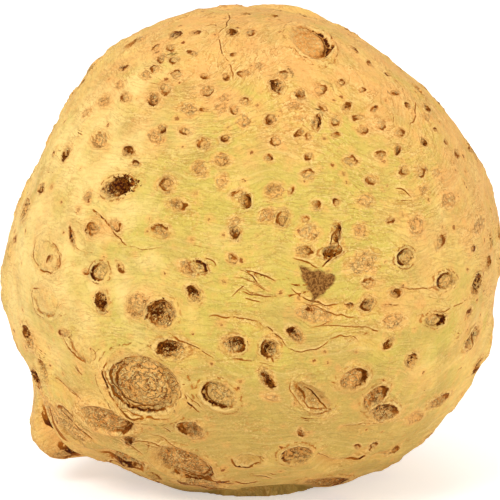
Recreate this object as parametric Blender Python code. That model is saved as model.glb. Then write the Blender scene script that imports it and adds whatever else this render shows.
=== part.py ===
"""Celeriac root, trimmed and washed: one solid body that rests on a small flat spot.

The skin is worked out as a distance from the middle of the root in every direction: an
ellipsoid, plus broad lobes, plus the relief of root scars, folds, cut root stubs and the
crown where the leaf stalks were cut off. Lengths here are millimetres and angles are
degrees. Bearing 0 faces -Y, bearing 90 faces +X, and height 90 points straight up.
"""
import math

import bpy
import numpy as np
from mathutils import Vector
from mathutils.geometry import delaunay_2d_cdt

METRES = 0.001

# Driving dimensions of the bare body
HALF_WIDTH = 59.6
HALF_DEPTH = 57.5
HALF_HEIGHT = 59.6
CENTRE_HEIGHT = 56.5
FOOT_RADIUS = 19.0
FOOT_POINTS = 40
FOOT_BLEND = 14.0
SKIN_RADIUS = 58.0

# Broad lobes and flats: bearing, height, spread, rise
LOBES = [
    (-80, -42, 9, 9.0),     # heel at the lower left
    (-60, -38, 12, 2.8),    # front of the heel
    (-98, -42, 12, 4.5),    # back of the heel
    (-82, -30, 6, -2.6),    # notch above the heel
    (-50, -71, 10, 1.8),    # root of the heel
    (-92, 24, 21, -5.2),    # flat on the left shoulder
    (-86, -10, 20, 1.8),    # left cheek
    (-128, 71, 20, -0.9),   # flat at the top left
    (97, 44, 20, -1.8),     # flat on the right shoulder
    (70, 64, 24, -1.4),     # flat beside the top
    (92, 8, 12, 1.0),       # right cheek
    (85, -24, 11, 3.6),     # right cheek, lower
    (80, -50, 17, 2.6),     # right jowl
    (18, -77, 18, -3.0),    # hollow beside the foot
    (52, -68, 7, 1.6),      # lip beside the hollow
    (140, 74, 9, -0.8),     # flat at the top right
    (106, 52, 6, -0.8),     # hollow below it
    (-87, -16, 6, -1.0),    # hollow in the left cheek
    (87, -15, 8, -0.9),     # hollow in the right cheek
]

# Low swells all over the skin, placed on an even spiral with a seeded size
SWELL_COUNT = 90
SWELL_SPREAD = (7.0, 13.0)
SWELL_RISE = 0.55
SWELL_SEED = 11

# Relief of each kind of root scar, for a scar of 3 mm half-width:
# mound round it, rim, ring groove, depth of the floor
SCAR_RELIEF = {
    "corky": (0.50, 0.55, 1.00, 0.30),
    "hollow": (0.35, 0.50, 0.00, 1.70),
    "slit": (0.25, 0.35, 0.00, 1.20),
    "blush": (0.50, 0.15, 0.00, 0.20),
    "ghost": (0.15, 0.25, 0.50, 0.00),
    "stub": (0.35, 0.35, 0.70, -1.40),
}
FULL_SCAR = 3.0
MOUND_REACH = 1.9
RIM_PLACE = 1.15
RIM_WIDTH = 0.27
GROOVE_PLACE = 0.85
GROOVE_WIDTH = 0.18
FLOOR_REACH = 0.75
SCAR_END = 4.0

# Root scars that give this root its face: bearing, height, half-length, half-width, turn, kind
SCARS_LARGE = [
    (-26, -21, 8.7, 8.0, -2, "corky"),
    (-21.5, -46.5, 7.4, 5.9, -61, "corky"),
    (-40.5, -32, 7.1, 3.9, -1, "corky"),
    (35, 65.5, 7.2, 4.5, 70, "corky"),
    (-52, 6, 5.3, 3.7, -6, "ghost"),
    (-52.5, -4.5, 5.2, 3.5, 10, "ghost"),
    (-42, -13.5, 3.9, 3.0, -38, "ghost"),
    (15.5, -23.5, 5.9, 2.4, -45, "hollow"),
    (37.5, -60, 7.7, 4.2, -24, "slit"),
]
SCARS_LEFT = [
    (-34, 24, 3.5, 2.2, 18, "stub"),
    (-21, 26, 1.7, 1.7, -60, "corky"),
    (-17.5, 21.5, 1.9, 1.1, -12, "hollow"),
    (-33.5, 32.5, 1.4, 1.0, -16, "hollow"),
    (-44.5, 34, 2.4, 1.7, -19, "corky"),
    (-56, 29.5, 1.6, 1.3, -85, "slit"),
    (-51.5, 43.5, 2.1, 1.2, -5, "slit"),
    (-32.5, 46, 1.6, 1.2, -38, "hollow"),
    (-19.5, 44.5, 1.9, 1.5, -14, "blush"),
    (-13, 36, 1.3, 1.2, -34, "corky"),
    (-14.5, 49.5, 1.3, 1.2, -65, "corky"),
    (-13, 30, 1.6, 1.4, -54, "corky"),
    (-11.5, 70, 1.5, 1.0, -90, "hollow"),
    (-21, 15.5, 1.9, 1.3, -6, "hollow"),
    (-32.5, 15.5, 1.4, 1.1, -23, "hollow"),
    (-38.5, 14, 1.9, 1.5, -19, "hollow"),
    (-61.5, 20, 1.6, 1.0, 9, "hollow"),
    (-70, 14, 3.7, 2.5, 18, "slit"),
    (-35.5, 5, 2.4, 1.9, 28, "ghost"),
    (-34.5, -1.5, 2.3, 1.5, 89, "hollow"),
    (-25.5, -1.5, 2.9, 2.5, 64, "corky"),
    (-20, -3, 3.4, 3.3, 35, "hollow"),
    (-12.5, 2, 1.9, 1.4, -62, "hollow"),
    (-14, 7.5, 1.8, 1.0, -32, "slit"),
    (-18, -11, 3.4, 2.0, -10, "hollow"),
    (-36, -37.5, 2.1, 1.0, 50, "hollow"),
    (-16, -32.5, 2.9, 2.3, -25, "hollow"),
]
SCARS_MIDDLE = [
    (-7.5, 32, 1.7, 1.3, -3, "corky"),
    (-7, 27.5, 1.4, 1.0, -76, "blush"),
    (-5, 44.5, 1.0, 0.8, -72, "corky"),
    (9.5, 51, 2.0, 1.4, 87, "hollow"),
    (17, 48.5, 1.2, 1.0, 55, "hollow"),
    (6, 42, 1.2, 1.0, 72, "hollow"),
    (14, 38.5, 1.2, 0.6, 41, "slit"),
    (20, 41, 1.7, 0.8, 68, "stub"),
    (-1, 23, 1.4, 1.1, 88, "corky"),
    (4, 19.5, 1.5, 1.4, -2, "blush"),
    (7.5, 19, 1.8, 1.4, 77, "corky"),
    (6, 25, 1.8, 1.6, 41, "corky"),
    (-3.5, 16, 1.4, 1.1, -78, "hollow"),
    (18.5, 11, 2.2, 1.3, 5, "hollow"),
    (20, 15, 1.8, 0.9, 79, "stub"),
    (12.5, 11.5, 1.7, 1.1, -7, "slit"),
    (13.5, 15.5, 2.1, 1.8, 0, "blush"),
    (-3.5, -9.5, 2.5, 2.1, -4, "hollow"),
    (4.5, -10.5, 2.2, 2.0, -86, "hollow"),
    (10, -7, 2.0, 1.0, -48, "hollow"),
    (4, -18, 2.4, 1.1, -60, "hollow"),
    (-7.5, -22.5, 4.3, 3.2, -47, "corky"),
    (25, -19, 3.5, 2.8, -4, "corky"),
    (14, -41.5, 3.6, 3.4, -20, "hollow"),
    (-0.5, -43.5, 3.5, 2.5, -3, "slit"),
    (14.5, -2.5, 3.8, 1.8, -15, "blush"),
]
SCARS_RIGHT = [
    (16, 21.5, 1.0, 0.9, 3, "hollow"),
    (28.5, 21.5, 1.7, 1.2, 2, "blush"),
    (26, 15, 1.5, 1.3, 3, "blush"),
    (32, 44.5, 1.3, 0.8, 41, "slit"),
    (36.5, 31.5, 1.1, 0.8, 10, "slit"),
    (42.5, 32, 1.1, 0.6, 46, "hollow"),
    (53.5, 32.5, 1.0, 0.9, 72, "hollow"),
    (66, 40, 1.4, 1.0, 14, "slit"),
    (37, 8, 2.4, 1.9, 8, "corky"),
    (49, 1, 3.2, 1.8, -7, "corky"),
    (46, -7.5, 3.3, 1.5, -9, "corky"),
    (27, -1.5, 1.6, 1.4, 15, "hollow"),
    (34, 0.5, 1.3, 0.9, -11, "hollow"),
    (33, -11, 1.4, 0.9, 64, "slit"),
    (41, -16.5, 1.7, 1.6, -4, "slit"),
    (63, -2.5, 3.1, 2.1, 20, "slit"),
    (65.5, -15.5, 3.6, 2.4, 22, "slit"),
    (60.5, -31, 3.9, 1.7, 1, "slit"),
    (51.5, -34, 3.2, 1.9, -19, "slit"),
    (54.5, 18.5, 2.3, 1.6, -3, "blush"),
    (41.5, 14.5, 2.1, 2.0, 74, "blush"),
    (66, 10.5, 3.6, 1.4, 10, "blush"),
    (32, -24.5, 3.4, 2.4, 40, "hollow"),
    (36.5, -29.5, 4.5, 2.3, -21, "hollow"),
    (40.5, -41.5, 1.1, 0.8, -50, "hollow"),
]

# Scars of the sides, back and underside come from a rule: an even spiral with seeded shifts,
# small and crowded beside the crown, larger and wider apart towards the root end. On the
# face that the named scars cover, the rule adds none.
RULE_SCARS = 460
RULE_SEED = 5
RULE_SHIFT = 3.0
RULE_AGE = (0.1, 0.9)
RULE_HALF_WIDTH = (1.0, 2.3)
RULE_SPREAD = (0.7, 1.9)
RULE_LENGTH = (1.05, 1.6)
RULE_GAP = 1.8
CROWN_CLEAR = 5.0
FOOT_SCAR_CLEAR = 9.0
FACE = (0, 12)
FACE_REACH = 68.0
RULE_KINDS = ("hollow", "corky", "hollow", "corky", "slit")

# Folds pressed into the skin: start, end (bearing, height), sag in degrees, width, depth
FOLDS = [
    (-71, -31, -76, -52, -1.0, 2.2, 2.2),   # round the heel
    (-55, -46.5, -39, -49.5, -3.0, 2.4, 2.0),   # under the heel
    (-40.5, 18, -30, 12.5, 0.4, 1.4, 1.1),  # upper left crease
    (9, 3.5, 36, -2.5, 2.2, 1.3, 0.8),      # long line right of the middle
    (-55.5, -23, -47, -27.5, 1.0, 1.6, 0.9),
    (-16, -7, -8, -13, 1.5, 1.3, 0.7),
    (-9.5, -3.5, 8, -10, -3.0, 1.3, 0.7),
    (22, -9, 33, -15, -2.0, 1.3, 0.7),
    (21, -41.5, 40, -41.5, 6.4, 1.7, 1.3),
    (43, -47, 54, -44, 1.0, 1.5, 0.9),
    (24, -33, 38, -34, 1.0, 1.3, 0.7),
    (112, -22, 150, -30, 3.0, 2.0, 1.4),
    (-110, 2, -140, -6, 3.0, 1.8, 1.2),
    (170, -28, 205, -34, 3.0, 2.0, 1.4),
]
FOLD_POINT_GAP = 3.0
FOLD_SHOULDER = 1.8

# Crown: a sunk, uneven cut disc with a collar, and arcs of the leaf stalks on a spiral
CROWN = (165, 54)
CROWN_RADIUS = 15.0
CROWN_COLLAR = 1.3
CROWN_COLLAR_WIDTH = 2.8
CROWN_SINK = 1.4
STALK_COUNT = 15
STALK_TURN = 137.5
STALK_FIRST = 2.5
STALK_STEP = 0.95
STALK_HALF_WIDTH = 1.5
STALK_HALF_ANGLE = 38.0
STALK_RISE = 1.6

# Cut root stubs round the underside and back: bearing, height, radius, rise
STUBS = [
    (118, -50, 5.5, 2.6),
    (146, -59, 6.5, 2.2),
    (170, -45, 5.0, 3.0),
    (200, -57, 6.5, 2.4),
    (228, -46, 5.5, 2.8),
    (252, -60, 5.5, 1.8),
    (150, -32, 4.0, 1.6),
    (208, -30, 4.5, 1.8),
]

STUB_RING_DEPTH = 0.6

# Mesh: rings of points round each scar by its half-length, and an even spiral between them
SCAR_RINGS = (
    (3.0, ((0.0, 1), (0.5, 6), (0.88, 12), (1.18, 12), (1.65, 10))),
    (2.1, ((0.0, 1), (0.8, 6), (1.2, 9))),
    (1.2, ((0.0, 1), (1.15, 6))),
)
STUB_RINGS = ((0.0, 1), (0.5, 6), (0.85, 10), (1.6, 12))
CROWN_RINGS = ((0.0, 1), (2.6, 7), (5.2, 13), (7.8, 18), (10.4, 24), (13.0, 28), (15.6, 30), (18.5, 28))
SPIRAL_POINTS = 2250
CLOSEST_RING_POINTS = 0.8
CLOSEST_FOLD_POINTS = 1.2
CLOSEST_SPIRAL_POINTS = 2.8
FOOT_CLEAR = 2.5


def direction(bearing, height):
    """Unit vectors that point along bearings and heights given in degrees."""
    b, h = np.broadcast_arrays(np.radians(bearing), np.radians(height))
    return np.stack([np.sin(b) * np.cos(h), -np.cos(b) * np.cos(h), np.sin(h)], axis=-1)


def tangent_axes(bearing, height):
    """The level axis and the rising axis of the skin at one place."""
    b = math.radians(bearing)
    h = math.radians(height)
    level = np.array([math.cos(b), math.sin(b), 0.0])
    rising = np.array([-math.sin(b) * math.sin(h), math.cos(b) * math.sin(h), math.cos(h)])
    return level, rising


def bump(rays, centre, spread):
    """A round bell on the sphere: 1 at its centre, falling off over the spread in degrees."""
    return np.exp(-2.0 * (1.0 - rays @ centre) / math.radians(spread) ** 2)


def spiral(count):
    """Even directions over the sphere, on a golden spiral."""
    steps = np.arange(count) + 0.5
    z = 1.0 - 2.0 * steps / count
    turn = math.pi * (1.0 + math.sqrt(5.0)) * steps
    flat = np.sqrt(1.0 - z * z)
    return np.stack([flat * np.cos(turn), flat * np.sin(turn), z], axis=-1)


def smooth(low, high, value):
    """0 at low, 1 at high, with soft ends."""
    t = np.clip((value - low) / (high - low), 0.0, 1.0)
    return t * t * (3.0 - 2.0 * t)


def bearing_height(ray):
    """Bearing and height in degrees of one direction."""
    return math.degrees(math.atan2(ray[0], -ray[1])), math.degrees(math.asin(ray[2]))


def rule_scars(named):
    """Seeded scars between the named ones, kept clear of them, of each other and of the crown."""
    draw = np.random.default_rng(RULE_SEED)
    crown = direction(*CROWN)
    crown_limit = math.cos((CROWN_RADIUS + CROWN_CLEAR) / SKIN_RADIUS)
    face = direction(*FACE)
    face_limit = math.cos(math.radians(FACE_REACH))
    foot_limit = -math.cos(math.atan2(FOOT_RADIUS, CENTRE_HEIGHT) + math.radians(FOOT_SCAR_CLEAR))
    rays = spiral(RULE_SCARS) + draw.normal(0.0, math.radians(RULE_SHIFT), (RULE_SCARS, 3))
    rays /= np.linalg.norm(rays, axis=1)[:, None]
    sizes = draw.random((RULE_SCARS, 4))
    placed = [(direction(row[0], row[1]), row[2]) for row in named]
    placed += [(direction(row[0], row[1]), row[2]) for row in STUBS]
    found = []
    for ray, (wide, long, turn, kind) in zip(rays, sizes):
        age = math.acos(float(np.clip(ray @ crown, -1.0, 1.0))) / math.pi
        half_width = np.interp(age, RULE_AGE, RULE_HALF_WIDTH) * np.interp(wide ** 2, (0, 1), RULE_SPREAD)
        half_length = half_width * np.interp(long, (0, 1), RULE_LENGTH)
        if ray @ crown > crown_limit or ray @ face > face_limit or ray[2] < foot_limit:
            continue
        gaps = [SKIN_RADIUS * math.acos(min(1.0, float(ray @ other))) - reach for other, reach in placed]
        if min(gaps) < half_length + RULE_GAP:
            continue
        bearing, height = bearing_height(ray)
        name = RULE_KINDS[int(kind * len(RULE_KINDS))]
        found.append((bearing, height, half_length, half_width, 180.0 * turn - 90.0, name))
        placed.append((ray, half_length))
    return found


def scar_place(rays, scar):
    """Distance from a scar's middle, 1 at its edge, and the angle round it."""
    bearing, height, half_length, half_width, turn, _ = scar
    level, rising = tangent_axes(bearing, height)
    across = SKIN_RADIUS * (rays @ level)
    up = SKIN_RADIUS * (rays @ rising)
    t = math.radians(turn)
    along = (across * math.cos(t) + up * math.sin(t)) / half_length
    aside = (up * math.cos(t) - across * math.sin(t)) / half_width
    return np.hypot(along, aside), np.arctan2(aside, along)


def scar_relief(rays, scar):
    """Mound, rim, ring groove and floor of one scar, as bells of the distance from its middle."""
    mound, rim, groove, floor = SCAR_RELIEF[scar[5]]
    near = rays @ direction(scar[0], scar[1]) > math.cos(SCAR_END * scar[2] / SKIN_RADIUS)
    relief = np.zeros(len(rays))
    far, angle = scar_place(rays[near], scar)
    open_side = math.radians(scar[4] * 3.0)
    shape = mound * np.exp(-((far / MOUND_REACH) ** 2))
    shape += rim * np.exp(-(((far - RIM_PLACE) / RIM_WIDTH) ** 2))
    ring = np.exp(-(((far - GROOVE_PLACE) / GROOVE_WIDTH) ** 2))
    shape -= groove * ring * (0.65 + 0.35 * np.cos(angle - open_side))
    shape -= floor * np.exp(-((far / FLOOR_REACH) ** 4))
    relief[near] = shape * (scar[3] / FULL_SCAR) ** 0.6
    return relief


def fold_route(fold):
    """Points along a fold: from start to end on the sphere, sagging in the middle."""
    b0, h0, b1, h1, sag, _, _ = fold
    start = direction(b0, h0)
    end = direction(b1, h1)
    length = SKIN_RADIUS * math.acos(float(start @ end))
    steps = np.linspace(0.0, 1.0, max(4, int(length / FOLD_POINT_GAP) + 1))
    down = np.cross(end - start, start + end)
    down /= np.linalg.norm(down)
    route = start + (end - start) * steps[:, None]
    route += down * (math.radians(sag) * 4.0 * steps * (1.0 - steps))[:, None]
    return route / np.linalg.norm(route, axis=1)[:, None], steps


def fold_relief(rays, fold):
    """A round-bottomed groove with low shoulders along a fold, fading out at both ends."""
    width, depth = fold[5], fold[6]
    route, steps = fold_route(fold)
    relief = np.zeros(len(rays))
    near = (rays @ route.T).max(axis=1) > math.cos((3.0 * width + FOLD_POINT_GAP) / SKIN_RADIUS)
    here = rays[near]
    best = np.full(len(here), np.inf)
    share = np.zeros(len(here))
    for low, high, s0, s1 in zip(route[:-1], route[1:], steps[:-1], steps[1:]):
        leg = high - low
        t = np.clip((here - low) @ leg / (leg @ leg), 0.0, 1.0)
        gap = SKIN_RADIUS * np.linalg.norm(here - (low + t[:, None] * leg), axis=1)
        closer = gap < best
        best[closer] = gap[closer]
        share[closer] = (s0 + (s1 - s0) * t)[closer]
    fade = np.sqrt(np.clip(4.0 * share * (1.0 - share), 0.0, 1.0))
    groove = -depth * np.exp(-((best / width) ** 2))
    shoulder = 0.35 * depth * np.exp(-(((best - FOLD_SHOULDER * width) / width) ** 2))
    relief[near] = (groove + shoulder) * fade
    return relief


def crown_relief(rays):
    """Cut crown: a sunk disc with an uneven edge and collar, and arcs of the leaf stalks."""
    level, rising = tangent_axes(*CROWN)
    across = SKIN_RADIUS * (rays @ level)
    up = SKIN_RADIUS * (rays @ rising)
    far = np.where(rays @ direction(*CROWN) > 0.0, np.hypot(across, up), 10.0 * CROWN_RADIUS)
    angle = np.arctan2(up, across)
    edge = CROWN_RADIUS * (1.0 + 0.09 * np.cos(2.0 * angle + 0.6) + 0.05 * np.cos(5.0 * angle))
    relief = CROWN_COLLAR * np.exp(-(((far - edge - 1.0) / CROWN_COLLAR_WIDTH) ** 2))
    relief *= 1.0 + 0.35 * np.cos(4.0 * angle)
    relief -= CROWN_SINK * (1.0 - smooth(0.8, 1.05, far / edge))
    for stalk in range(STALK_COUNT):
        ring = STALK_FIRST + STALK_STEP * stalk
        turned = np.cos(angle - math.radians(STALK_TURN * stalk))
        arc = np.exp(-2.0 * (1.0 - turned) / math.radians(STALK_HALF_ANGLE) ** 2)
        relief += STALK_RISE * arc * np.exp(-(((far - ring) / STALK_HALF_WIDTH) ** 2))
    return relief


def stub_relief(rays, stub):
    """A cut root stub: a low cone of a knob with a flat cut end."""
    bearing, height, radius, rise = stub
    centre = direction(bearing, height)
    far = SKIN_RADIUS * np.arccos(np.clip(rays @ centre, -1.0, 1.0)) / radius
    knob = rise * (1.0 - smooth(0.85, 1.7, far))
    ring = STUB_RING_DEPTH * np.exp(-(((far - 0.5) / 0.2) ** 2))
    return knob - ring


def skin_distance(rays, scars):
    """Distance from the middle of the root to its skin along each ray."""
    bare = np.array([HALF_WIDTH, HALF_DEPTH, HALF_HEIGHT])
    distance = 1.0 / np.linalg.norm(rays / bare, axis=1)
    for bearing, height, spread, rise in LOBES:
        distance += rise * bump(rays, direction(bearing, height), spread)
    draw = np.random.default_rng(SWELL_SEED)
    relief = np.zeros(len(rays))
    for centre in spiral(SWELL_COUNT):
        relief += draw.normal(0.0, SWELL_RISE) * bump(rays, centre, draw.uniform(*SWELL_SPREAD))
    for scar in scars:
        relief += scar_relief(rays, scar)
    for fold in FOLDS:
        relief += fold_relief(rays, fold)
    for stub in STUBS:
        relief += stub_relief(rays, stub)
    relief += crown_relief(rays)

    # The foot is a flat spot: relief fades out towards it and the skin meets its plane there.
    foot_angle = math.atan2(FOOT_RADIUS, CENTRE_HEIGHT)
    fall = np.arccos(np.clip(-rays[:, 2], -1.0, 1.0))
    away = smooth(foot_angle, foot_angle + math.radians(FOOT_BLEND), fall)
    plane = CENTRE_HEIGHT / np.maximum(-rays[:, 2], 1e-6)
    plane = np.where(rays[:, 2] < -0.3, plane, np.inf)
    distance += relief * away
    on_foot = fall <= foot_angle + 1e-6
    return np.where(on_foot, plane, np.minimum(distance, plane))


def ring_points(bearing, height, half_length, half_width, turn, rings):
    """Rings of points round one place on the skin."""
    level, rising = tangent_axes(bearing, height)
    centre = direction(bearing, height)
    t = math.radians(turn)
    along = level * math.cos(t) + rising * math.sin(t)
    aside = rising * math.cos(t) - level * math.sin(t)
    points = []
    for ring_number, (share, count) in enumerate(rings):
        angles = 2.0 * math.pi * (np.arange(count) + 0.5 * (ring_number % 2)) / count
        offset = np.outer(np.cos(angles) * share * half_length, along)
        offset += np.outer(np.sin(angles) * share * half_width, aside)
        points.append(centre + offset / SKIN_RADIUS)
    points = np.vstack(points)
    return points / np.linalg.norm(points, axis=1)[:, None]


def add_points(kept, candidates, closest):
    """The kept points with the candidates that lie clear of every one of them."""
    limit = math.cos(closest / SKIN_RADIUS)
    clear = (kept @ candidates.T).max(axis=0) < limit
    return np.vstack([kept, candidates[clear]])


def mesh_directions(scars):
    """Directions of all skin points: foot ring, crown, stubs, scars, folds, then the spiral."""
    foot_angle = math.atan2(FOOT_RADIUS, CENTRE_HEIGHT)
    kept = direction(np.arange(FOOT_POINTS) * 360.0 / FOOT_POINTS, math.degrees(foot_angle) - 90.0)
    kept = np.vstack([kept, ring_points(*CROWN, 1.0, 1.0, 0.0, CROWN_RINGS)])
    for bearing, height, radius, _ in STUBS:
        points = ring_points(bearing, height, radius, radius, 0.0, STUB_RINGS)
        kept = add_points(kept, points, CLOSEST_RING_POINTS)
    for scar in sorted(scars, key=lambda row: -row[2]):
        for smallest, rings in SCAR_RINGS:
            if scar[2] >= smallest:
                kept = add_points(kept, ring_points(*scar[:5], rings), CLOSEST_RING_POINTS)
                break
    for fold in FOLDS:
        route, _ = fold_route(fold)
        side = np.cross(np.gradient(route, axis=0), route)
        side *= (FOLD_SHOULDER * fold[5] / SKIN_RADIUS) / np.linalg.norm(side, axis=1)[:, None]
        for shift in (0.0, 1.0, -1.0):
            line = route + side * shift
            line /= np.linalg.norm(line, axis=1)[:, None]
            kept = add_points(kept, line, CLOSEST_FOLD_POINTS)
    between = spiral(SPIRAL_POINTS)
    between = between[np.arccos(-between[:, 2]) > foot_angle + math.radians(FOOT_CLEAR)]
    return add_points(kept, between, CLOSEST_SPIRAL_POINTS)


def skin_mesh(rays, distances):
    """Closed mesh: the directions are joined into even triangles on a stereographic map seen
    from the foot, lifted to the skin, and closed by the flat foot."""
    flat = rays[:, :2] / (1.0 + rays[:, 2:3])
    joined = delaunay_2d_cdt([Vector(point) for point in flat], [], [], 0, 1e-7)
    order = [sources[0] for sources in joined[3]]
    points = rays * distances[:, None]
    points[:, 2] += CENTRE_HEIGHT
    points[:FOOT_POINTS, 2] = 0.0
    faces = [[order[corner] for corner in face] for face in joined[2]]
    foot = list(range(FOOT_POINTS))
    faces = [face for face in faces if not all(corner < FOOT_POINTS for corner in face)]
    mesh = bpy.data.meshes.new("celeriac_root")
    mesh.from_pydata((points * METRES).tolist(), [], faces + [foot[::-1]])
    return mesh


def skin_material():
    """Washed celeriac skin: cream yellow, dull."""
    material = bpy.data.materials.new("celeriac_skin")
    material.use_nodes = True
    shader = material.node_tree.nodes["Principled BSDF"]
    shader.inputs["Base Color"].default_value = (0.80, 0.53, 0.17, 1.0)
    shader.inputs["Roughness"].default_value = 0.62
    shader.inputs["Metallic"].default_value = 0.0
    return material


def build():
    for old in list(bpy.data.objects):
        bpy.data.objects.remove(old, do_unlink=True)
    collection = bpy.data.collections.new("celeriac root")
    bpy.context.scene.collection.children.link(collection)
    named = SCARS_LARGE + SCARS_LEFT + SCARS_MIDDLE + SCARS_RIGHT
    scars = named + rule_scars(named)
    rays = mesh_directions(scars)
    mesh = skin_mesh(rays, skin_distance(rays, scars))
    mesh.validate()
    mesh.update()
    root = bpy.data.objects.new("celeriac_root", mesh)
    root.data.materials.append(skin_material())
    mesh.shade_smooth()
    collection.objects.link(root)
    print("scars", len(scars), "points", len(rays), "faces", len(mesh.polygons))


build()
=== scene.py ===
import itertools
import math

import bpy
import numpy as np
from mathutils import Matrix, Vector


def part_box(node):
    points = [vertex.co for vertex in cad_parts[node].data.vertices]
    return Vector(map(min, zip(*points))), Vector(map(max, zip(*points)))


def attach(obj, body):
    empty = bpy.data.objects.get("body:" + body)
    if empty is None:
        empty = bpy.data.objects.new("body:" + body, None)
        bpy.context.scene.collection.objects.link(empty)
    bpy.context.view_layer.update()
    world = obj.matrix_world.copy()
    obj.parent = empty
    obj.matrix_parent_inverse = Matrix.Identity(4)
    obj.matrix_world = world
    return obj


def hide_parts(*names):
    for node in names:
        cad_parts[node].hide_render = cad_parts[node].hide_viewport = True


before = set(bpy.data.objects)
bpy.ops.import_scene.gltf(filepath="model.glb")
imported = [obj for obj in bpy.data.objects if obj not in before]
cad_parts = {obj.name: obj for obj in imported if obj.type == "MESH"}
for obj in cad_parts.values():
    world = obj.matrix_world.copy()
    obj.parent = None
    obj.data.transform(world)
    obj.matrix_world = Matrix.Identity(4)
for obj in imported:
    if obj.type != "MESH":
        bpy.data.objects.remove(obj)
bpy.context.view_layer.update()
bpy.context.scene.view_settings.view_transform = "Standard"

# ---------------------------------------------------------------- The swollen root
# The edible part is one swollen root, grown whole: a lopsided globe with a heel at the lower
# left, flats on both shoulders and a small flat spot to stand on. Millimetres and degrees,
# with bearing 0 facing -Y, bearing 90 facing +X, and height 90 straight up.
ROOT_HEIGHT = 115.7
lowest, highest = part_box("celeriac_root")
MM = (highest[2] - lowest[2]) / ROOT_HEIGHT
HALF_WIDTH = 59.6
HALF_DEPTH = 57.5
HALF_HEIGHT = 59.6
CENTRE_HEIGHT = 56.5
FOOT_RADIUS = 19.0
FOOT_BLEND = 14.0
SKIN_RADIUS = 58.0

# Broad lobes and flats: bearing, height, spread, rise
LOBES = [
    (-80, -42, 9, 9.0),     # heel at the lower left
    (-60, -38, 12, 2.8),    # front of the heel
    (-98, -42, 12, 4.5),    # back of the heel
    (-82, -30, 6, -2.6),    # notch above the heel
    (-50, -71, 10, 1.8),    # root of the heel
    (-92, 24, 21, -5.2),    # flat on the left shoulder
    (-86, -10, 20, 1.8),    # left cheek
    (-128, 71, 20, -0.9),   # flat at the top left
    (97, 44, 20, -1.8),     # flat on the right shoulder
    (70, 64, 24, -1.4),     # flat beside the top
    (92, 8, 12, 1.0),       # right cheek
    (85, -24, 11, 3.6),     # right cheek, lower
    (80, -50, 17, 2.6),     # right jowl
    (18, -77, 18, -3.0),    # hollow beside the foot
    (52, -68, 7, 1.6),      # lip beside the hollow
    (140, 74, 9, -0.8),     # flat at the top right
    (106, 52, 6, -0.8),     # hollow below it
    (-87, -16, 6, -1.0),    # hollow in the left cheek
    (87, -15, 8, -0.9),     # hollow in the right cheek
]

# Low swells all over the skin, on an even spiral with a seeded size
SWELL_COUNT = 90
SWELL_SPREAD = (7.0, 13.0)
SWELL_RISE = 0.55
SWELL_SEED = 11


def direction(bearing, height):
    """Unit vectors that point along bearings and heights given in degrees."""
    b, h = np.broadcast_arrays(np.radians(bearing), np.radians(height))
    return np.stack([np.sin(b) * np.cos(h), -np.cos(b) * np.cos(h), np.sin(h)], axis=-1)


def across_and_up(rays, bearing, height):
    """How many millimetres directions lie across and up from one place: their parts along the
    level axis and the rising axis of the skin there, times its radius."""
    b = math.radians(bearing)
    h = math.radians(height)
    level = np.array([math.cos(b), math.sin(b), 0.0])
    rising = np.array([-math.sin(b) * math.sin(h), math.cos(b) * math.sin(h), math.cos(h)])
    return SKIN_RADIUS * (rays @ level), SKIN_RADIUS * (rays @ rising)


def bump(rays, centre, spread):
    """A round bell on the sphere: 1 at its centre, falling off over the spread in degrees."""
    return np.exp(-2.0 * (1.0 - rays @ centre) / math.radians(spread) ** 2)


def bell(value, middle, width):
    """1 where a value is at its middle, falling off over the width on both sides."""
    return np.exp(-(((value - middle) / width) ** 2))


def spiral(count):
    """Even directions over the sphere, on a golden spiral."""
    steps = np.arange(count) + 0.5
    z = 1.0 - 2.0 * steps / count
    turn = math.pi * (1.0 + math.sqrt(5.0)) * steps
    flat = np.sqrt(1.0 - z * z)
    return np.stack([flat * np.cos(turn), flat * np.sin(turn), z], axis=-1)


def smooth(low, high, value):
    """0 at low, 1 at high, with soft ends."""
    t = np.clip((value - low) / (high - low), 0.0, 1.0)
    return t * t * (3.0 - 2.0 * t)


def unit(rays):
    """The same directions at length 1."""
    return rays / np.linalg.norm(rays, axis=-1, keepdims=True)


def body_distance(rays):
    """Distance to the bare body: an ellipsoid plus the lobes."""
    distance = 1.0 / np.linalg.norm(rays / np.array([HALF_WIDTH, HALF_DEPTH, HALF_HEIGHT]), axis=1)
    for bearing, height, spread, rise in LOBES:
        distance += rise * bump(rays, direction(bearing, height), spread)
    return distance


def swell_relief(rays):
    """Low swells: bells on a spiral, each with its own seeded rise and spread."""
    draw = np.random.default_rng(SWELL_SEED)
    relief = np.zeros(len(rays))
    for centre in spiral(SWELL_COUNT):
        relief += draw.normal(0.0, SWELL_RISE) * bump(rays, centre, draw.uniform(*SWELL_SPREAD))
    return relief


# ---------------------------------------------------------------- Root scars
# Where side roots were torn or cut off they leave oval scars: corky plugs ringed by a groove,
# open pits, slits, healed swellings and a few stubs. They are small and crowded near the
# crown, large and far apart at the root end. Each one is raised from the skin by bells.

# Each kind's mound and rim, and the depth of its ring groove and of its floor
SCAR_RELIEF = {
    "corky": (0.50, 0.55, 1.00, 0.30),
    "hollow": (0.35, 0.50, 0.00, 1.70),
    "slit": (0.25, 0.35, 0.00, 1.20),
    "blush": (0.50, 0.15, 0.00, 0.20),
    "ghost": (0.15, 0.25, 0.50, 0.00),
    "stub": (0.35, 0.35, 0.70, -1.40),
}
FULL_SCAR = 3.0
MOUND_REACH = 1.9
RIM_PLACE = 1.15
RIM_WIDTH = 0.27
GROOVE_PLACE = 0.85
GROOVE_WIDTH = 0.18
FLOOR_REACH = 0.75
SCAR_END = 4.0
RING_LEAN = 0.35
RELIEF_GROWTH = 0.6

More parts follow.
